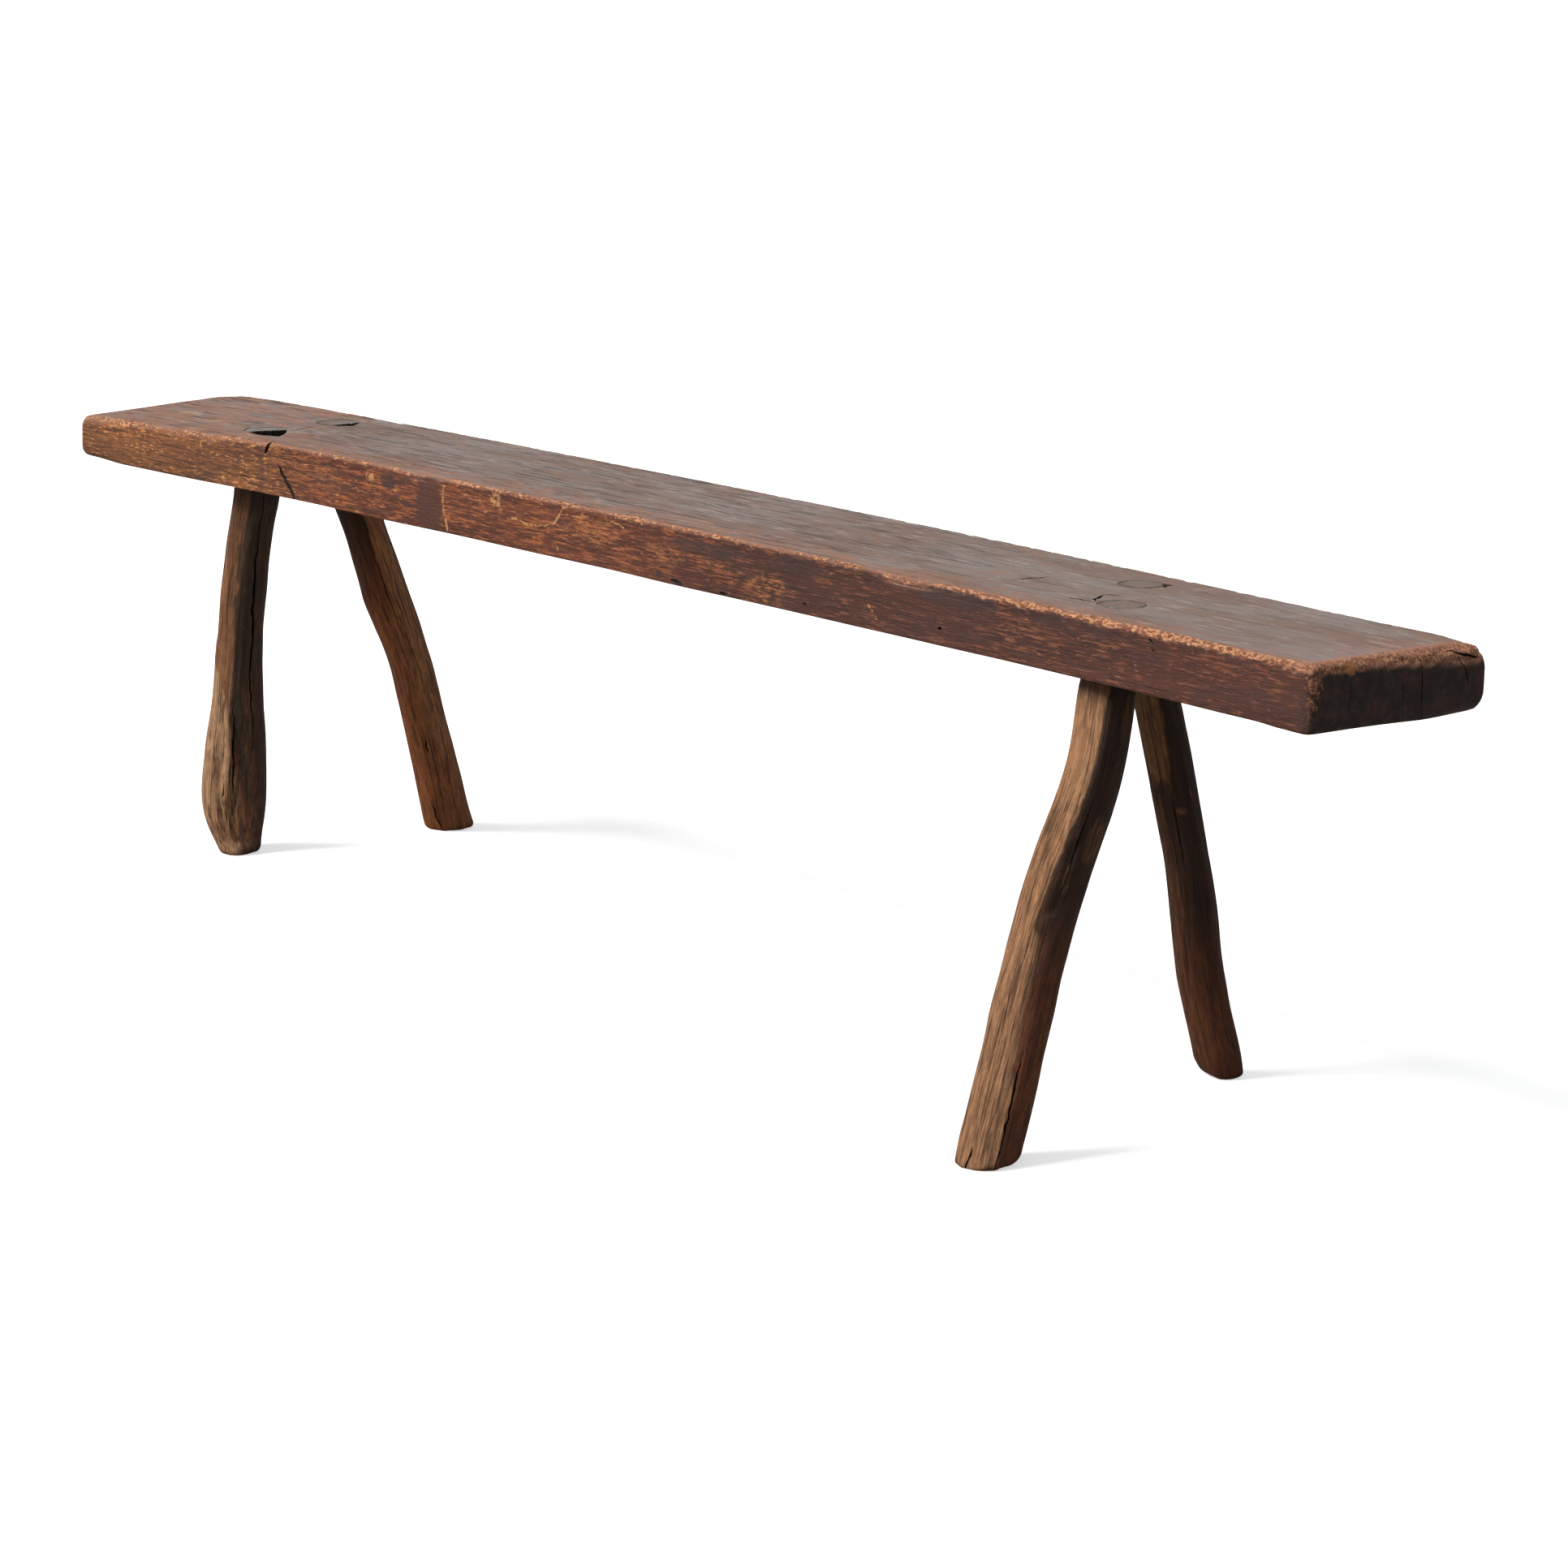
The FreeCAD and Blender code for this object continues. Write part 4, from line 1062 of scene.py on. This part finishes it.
for number, leg in enumerate(LEGS):
    rings, places, pale = skin_of_branch(leg, 200 + 20 * number)
    tenon_top = add_tenon(leg, rings, places, pale)
    branch, fibre_places, pale_shares = close_with_caps(f"{leg}_leg", rings, places, pale, tenon_top)
    start_points = points_of(branch)
    skin = surface(branch)
    for split_number, (which, path, width, depth) in enumerate(SPLITS):
        if which != leg:
            continue
        spots = []
        ways = []
        for height, share in path:
            ring = min(rings, key=lambda ring: abs(ring[0, 2] - height))
            way = level_way(across(share))
            middle = Vector(ring.mean(axis=0))
            hit = skin.ray_cast(Vector((middle.x, middle.y, max(height, 0.001))) + way * 0.1, -way)[0]
            spots.append((hit.x, hit.y, height))
            ways.append(way)
        inward = -sum(ways, Vector()).normalized()
        carve(branch, blade(spots, inward, width, depth, 300 + split_number, steps=40))
    finish_mesh(branch, 50)
    final_points = points_of(branch)
    twins = nearest(final_points, start_points)
    store(branch, "grain_place", fibre_places[twins] + (final_points - start_points[twins]))
    store(branch, "pale", pale_shares[twins])
    # Painted shade: the sunken broken part of a tenon's end and the insides of its splits are darkened.
    in_socket = final_points[:, 2] > TENON_HIGH
    sunk = seat_top(final_points[:, 0], final_points[:, 1]) - final_points[:, 2]
    sunk = in_socket * np.clip((sunk - 0.0016) / 0.0025, 0, 1)
    store(branch, "hollow", np.maximum(sunk, depth_under(skin, final_points, SPLIT_HOLLOW)))
    legs[leg] = branch


# Each leg's colours: dark above, which is partly painted shade under the seat, and dark near the
# foot, the height where they meet, worn and bare, which are also painted light on the key-lit
# left side, and the middle and reach of the light blue grey patch on its tenon's end
LEG_COLOURS = {
    "front_left": ((0.064, 0.039, 0.026), (0.072, 0.043, 0.029), 0.12, (0.24, 0.102, 0.046),
                   (0.445, 0.255, 0.14), (-0.662, -0.027), (0.04, 0.05)),
    "back_left": ((0.044, 0.016, 0.007), (0.33, 0.104, 0.033), 0.28, (0.36, 0.14, 0.053),
                  (0.46, 0.24, 0.11), (-0.6475, 0.06), (0.0068, 0.03)),
    "front_right": ((0.042, 0.018, 0.01), (0.17, 0.052, 0.02), 0.17, (0.175, 0.085, 0.04),
                    (0.39, 0.195, 0.095), (0.65, -0.04), (0.003, 0.003)),
    "back_right": ((0.036, 0.015, 0.009), (0.125, 0.034, 0.012), 0.12, (0.14, 0.052, 0.02),
                   (0.26, 0.12, 0.046), (0.59, 0.06), (0.003, 0.003)),
}
# Peeled branch: grimy and dark, worn brown where rubbed and pale where shaved bare. On the left
# sides that the key light falls on, the worn and pale colours are partly painted light.
for leg, branch in legs.items():
    dark_top, dark_foot, turning, worn, bare, end_spot, end_reach = LEG_COLOURS[leg]
    material, tree, shader = new_material(f"{leg}_branch_wood")
    place = read("grain_place", "Vector")
    pale = read("pale")
    hollow = read("hollow")
    height = put("ShaderNodeSeparateXYZ", place)["X"]
    up = put("ShaderNodeSeparateXYZ", put("ShaderNodeNewGeometry")["Normal"])["Z"]
    coarse = use("long_grain", place, 0.11, 0.006)
    fine = use("long_grain", place, 0.04, 0.0017)
    # Darker above the turning height: partly painted shade where the seat shades the leg.
    dark = tint(slope(height, turning + 0.06, turning - 0.06), dark_top, dark_foot)
    dark = tint(times(coarse["Bands"], 0.5), dark, tint(0.35, dark, worn))
    # Painted light in part: the pale share lightens the key-lit left sides as well as the shaved wood.
    lit = times_plus(fine["Fibres"], 0.42, maths("SUBTRACT", pale, 0.21))
    lit = times(lit, slope(pale, 0, 0.2))
    light = tint(slope(lit, 0, 0.5), dark, worn)
    colour = tint(slope(lit, 0.45, 1), light, bare)
    scuff = slope(times_plus(pale, 0.06, drawn(place, (45, 260, 260), 5, 0.7)), 0.6, 0.7)
    colour = tint(times(scuff, 0.4), colour, tint(0.5, colour, bare))
    lines = slope(drawn(place, (16, 430, 430), 3), 0.54, 0.62)
    colour = tint(times(lines, 0.75), colour, tint(0.8, colour, (0.016, 0.009, 0.006)))
    mottle = slope(drawn(place, (62, 190, 190), 5, 0.72), 0.42, 0.6)
    colour = tint(mottle, tint(0.36, colour, (0.02, 0.011, 0.007)), colour)
    colour = tint(times(coarse["Pores"], 0.5), colour, (0.016, 0.01, 0.008))
    # Painted shade: the tops of the legs are darkened where the seat shades them.
    seat_shade = slope(height, 0.355, 0.4)
    colour = tint(times(seat_shade, 0.65), colour, (0.012, 0.008, 0.006))
    # The tenon's end: like the seat's top, darker at its rim, with a light blue grey patch
    end_grain = tint(cloud(place, 160, 4, 0.6), (0.165, 0.115, 0.092), (0.29, 0.215, 0.185))
    end_rim = times(slope(pale, 0.66, 0.9), slope(cloud(place, 70), 0.4, 0.56))
    end_grain = tint(end_rim, end_grain, (0.125, 0.108, 0.088))
    end_grey_patch = use("blot", place, (TOP_LEVEL, *end_spot), (0.05, *end_reach), 0.4)["Mask"]
    grey = tint(coarse["Fibres"], (0.155, 0.148, 0.146), (0.305, 0.296, 0.296))
    grey_end = tint(end_grey_patch, end_grain, grey)
    is_end = times(slope(up, 0.45, 0.75), slope(height, 0.425, 0.432))
    colour = tint(is_end, colour, grey_end)
    # Painted shade in the sunken end and in the splits
    colour = tint(slope(hollow, 0.02, 0.25), colour, (0.008, 0.005, 0.004))
    roughness = times_plus(fine["Fibres"], 0.2, 0.5)
    relief = times_plus(coarse["Fibres"], 0.4, times(fine["Fibres"], 0.8))
    relief = times_plus(lines, -0.9, relief)
    dress(shader, colour, 0.2, roughness, relief, 0.75, 0.0009)
    branch.data.materials.append(material)
    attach(branch, "root")
    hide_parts(f"leg_{leg}")

# Wedges: a small split hardwood taper driven into each tenon's end across the seat's grain,
# cut flush and weathered as grey as the tenon round it.
WEDGE_HEAD = 0.0045
WEDGE_TIP = 0.0012
WEDGE_SINK = 0.0009
WEDGE_FIT = 0.985
HEAD_LEVEL = 0.448
LEAN_RUN = 0.02
wedge_wood, tree, shader = new_material("grey_wedge_wood")
place = read("grain_place", "Vector")
fine = use("long_grain", place, 0.02, 0.001)
colour = tint(fine["Fibres"], (0.14, 0.112, 0.095), (0.25, 0.21, 0.18))
colour = tint(fine["Pores"], colour, (0.03, 0.026, 0.022))
join(colour, shader.inputs["Base Color"])
shader.inputs["Roughness"].default_value = 0.6
bump = put("ShaderNodeBump", 0.5, 0.0004, None, fine["Fibres"])
join(bump[0], shader.inputs["Normal"])
for number, leg in enumerate(LEGS):
    low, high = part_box(f"wedge_{leg}")
    (middle_x, middle_y), radius = tenon_at(leg, HEAD_LEVEL)
    lean = (middle_x - tenon_at(leg, HEAD_LEVEL - LEAN_RUN)[0][0]) / LEAN_RUN
    points, faces = box_skin(np.linspace(-1, 1, 5), np.linspace(-1, 1, 25), np.linspace(0, 1, 9))
    wide = blend(WEDGE_TIP, WEDGE_HEAD, points[:, 2]) / 2
    long = np.sqrt(np.maximum(radius ** 2 - wide ** 2, 0)) * WEDGE_FIT
    x = middle_x + points[:, 0] * wide + lean * (points[:, 2] - 1) * (high.z - low.z)
    y = middle_y + points[:, 1] * long
    z = blend(low.z, seat_top(x, y) - WEDGE_SINK, points[:, 2])
    shaped = np.stack([x, y, z], axis=1)
    chip = 0.0003 * lumps(shaped, (0.003, 0.004, 0.006), 400 + number)
    shaped[:, 0] += chip
    shaped[:, 2] += chip * points[:, 2]
    wedge = make_mesh(f"{leg}_wedge", shaped, faces)
    finish_mesh(wedge, 30)
    store(wedge, "grain_place", shaped[:, [2, 1, 0]])
    wedge.data.materials.append(wedge_wood)
    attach(wedge, "root")
    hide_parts(f"wedge_{leg}")

# Floor, light and camera: a pale floor that keeps its shadows faint, a broad soft light from the
# upper left in front with a weaker cool surround, and the camera at the photograph's place.
FLOOR_HALF = 60.0
FLOOR_SEEN = (0.9, 0.9, 0.9)
FLOOR_BOUNCE = (0.3, 0.29, 0.28)
FLOOR_GLOW = 0.55
floor_corners = [(-FLOOR_HALF, -FLOOR_HALF, 0), (FLOOR_HALF, -FLOOR_HALF, 0),
                 (FLOOR_HALF, FLOOR_HALF, 0), (-FLOOR_HALF, FLOOR_HALF, 0)]
floor = make_mesh("floor", np.array(floor_corners), [(0, 1, 2, 3)])
floor_paint, tree, shader = new_material("floor_paint")
seen = put("ShaderNodeLightPath")["Is Camera Ray"]
join(tint(seen, FLOOR_BOUNCE, FLOOR_SEEN), shader.inputs["Base Color"])
shader.inputs["Roughness"].default_value = 0.9
shader.inputs["Specular IOR Level"].default_value = 0.0
shader.inputs["Emission Color"].default_value = (1, 1, 1, 1)
join(times(seen, FLOOR_GLOW), shader.inputs["Emission Strength"])
floor.data.materials.append(floor_paint)

sky = bpy.data.worlds.new("sky")
sky.use_nodes = True
sky.node_tree.nodes["Background"].inputs["Color"].default_value = (0.92, 0.96, 1.0, 1)
sky.node_tree.nodes["Background"].inputs["Strength"].default_value = 0.38
bpy.context.scene.world = sky
key_light = bpy.data.objects.new("key_light", bpy.data.lights.new("key_light", "SUN"))
key_light.data.energy = 4.2
key_light.data.angle = math.radians(26)
key_light.data.color = (1.0, 0.96, 0.91)
key_light.rotation_mode = "QUATERNION"
key_light.rotation_quaternion = Vector((0.55, 1.0, -1.15)).to_track_quat("-Z", "Y")
bpy.context.scene.collection.objects.link(key_light)

CAMERA_OFFSET = Vector((3.5893, -2.7895, 0.6839))
CAMERA_YAW = -0.8887
CAMERA_PITCH = 0.207
CAMERA_ROLL = 0.0154
FOCAL_PIXELS = 6000
IMAGE_PIXELS = 1932
camera = bpy.data.objects.new("camera", bpy.data.cameras.new("camera"))
camera.data.sensor_width = 36
camera.data.lens = FOCAL_PIXELS / IMAGE_PIXELS * camera.data.sensor_width
forward = Vector((
    math.sin(CAMERA_YAW) * math.cos(CAMERA_PITCH),
    math.cos(CAMERA_YAW) * math.cos(CAMERA_PITCH),
    -math.sin(CAMERA_PITCH),
))
level = Vector((math.cos(CAMERA_YAW), -math.sin(CAMERA_YAW), 0))
upright = level.cross(forward)
sideways = level * math.cos(CAMERA_ROLL) + upright * math.sin(CAMERA_ROLL)
upward = upright * math.cos(CAMERA_ROLL) - level * math.sin(CAMERA_ROLL)
camera.matrix_world = Matrix.Translation(
    Vector((PLANK_MIDDLE[0], PLANK_MIDDLE[1], plank_high.z)) + CAMERA_OFFSET
) @ Matrix((sideways, upward, -forward)).transposed().to_4x4()
bpy.context.scene.collection.objects.link(camera)
bpy.context.scene.camera = camera
bpy.context.scene.view_settings.view_transform = "Standard"
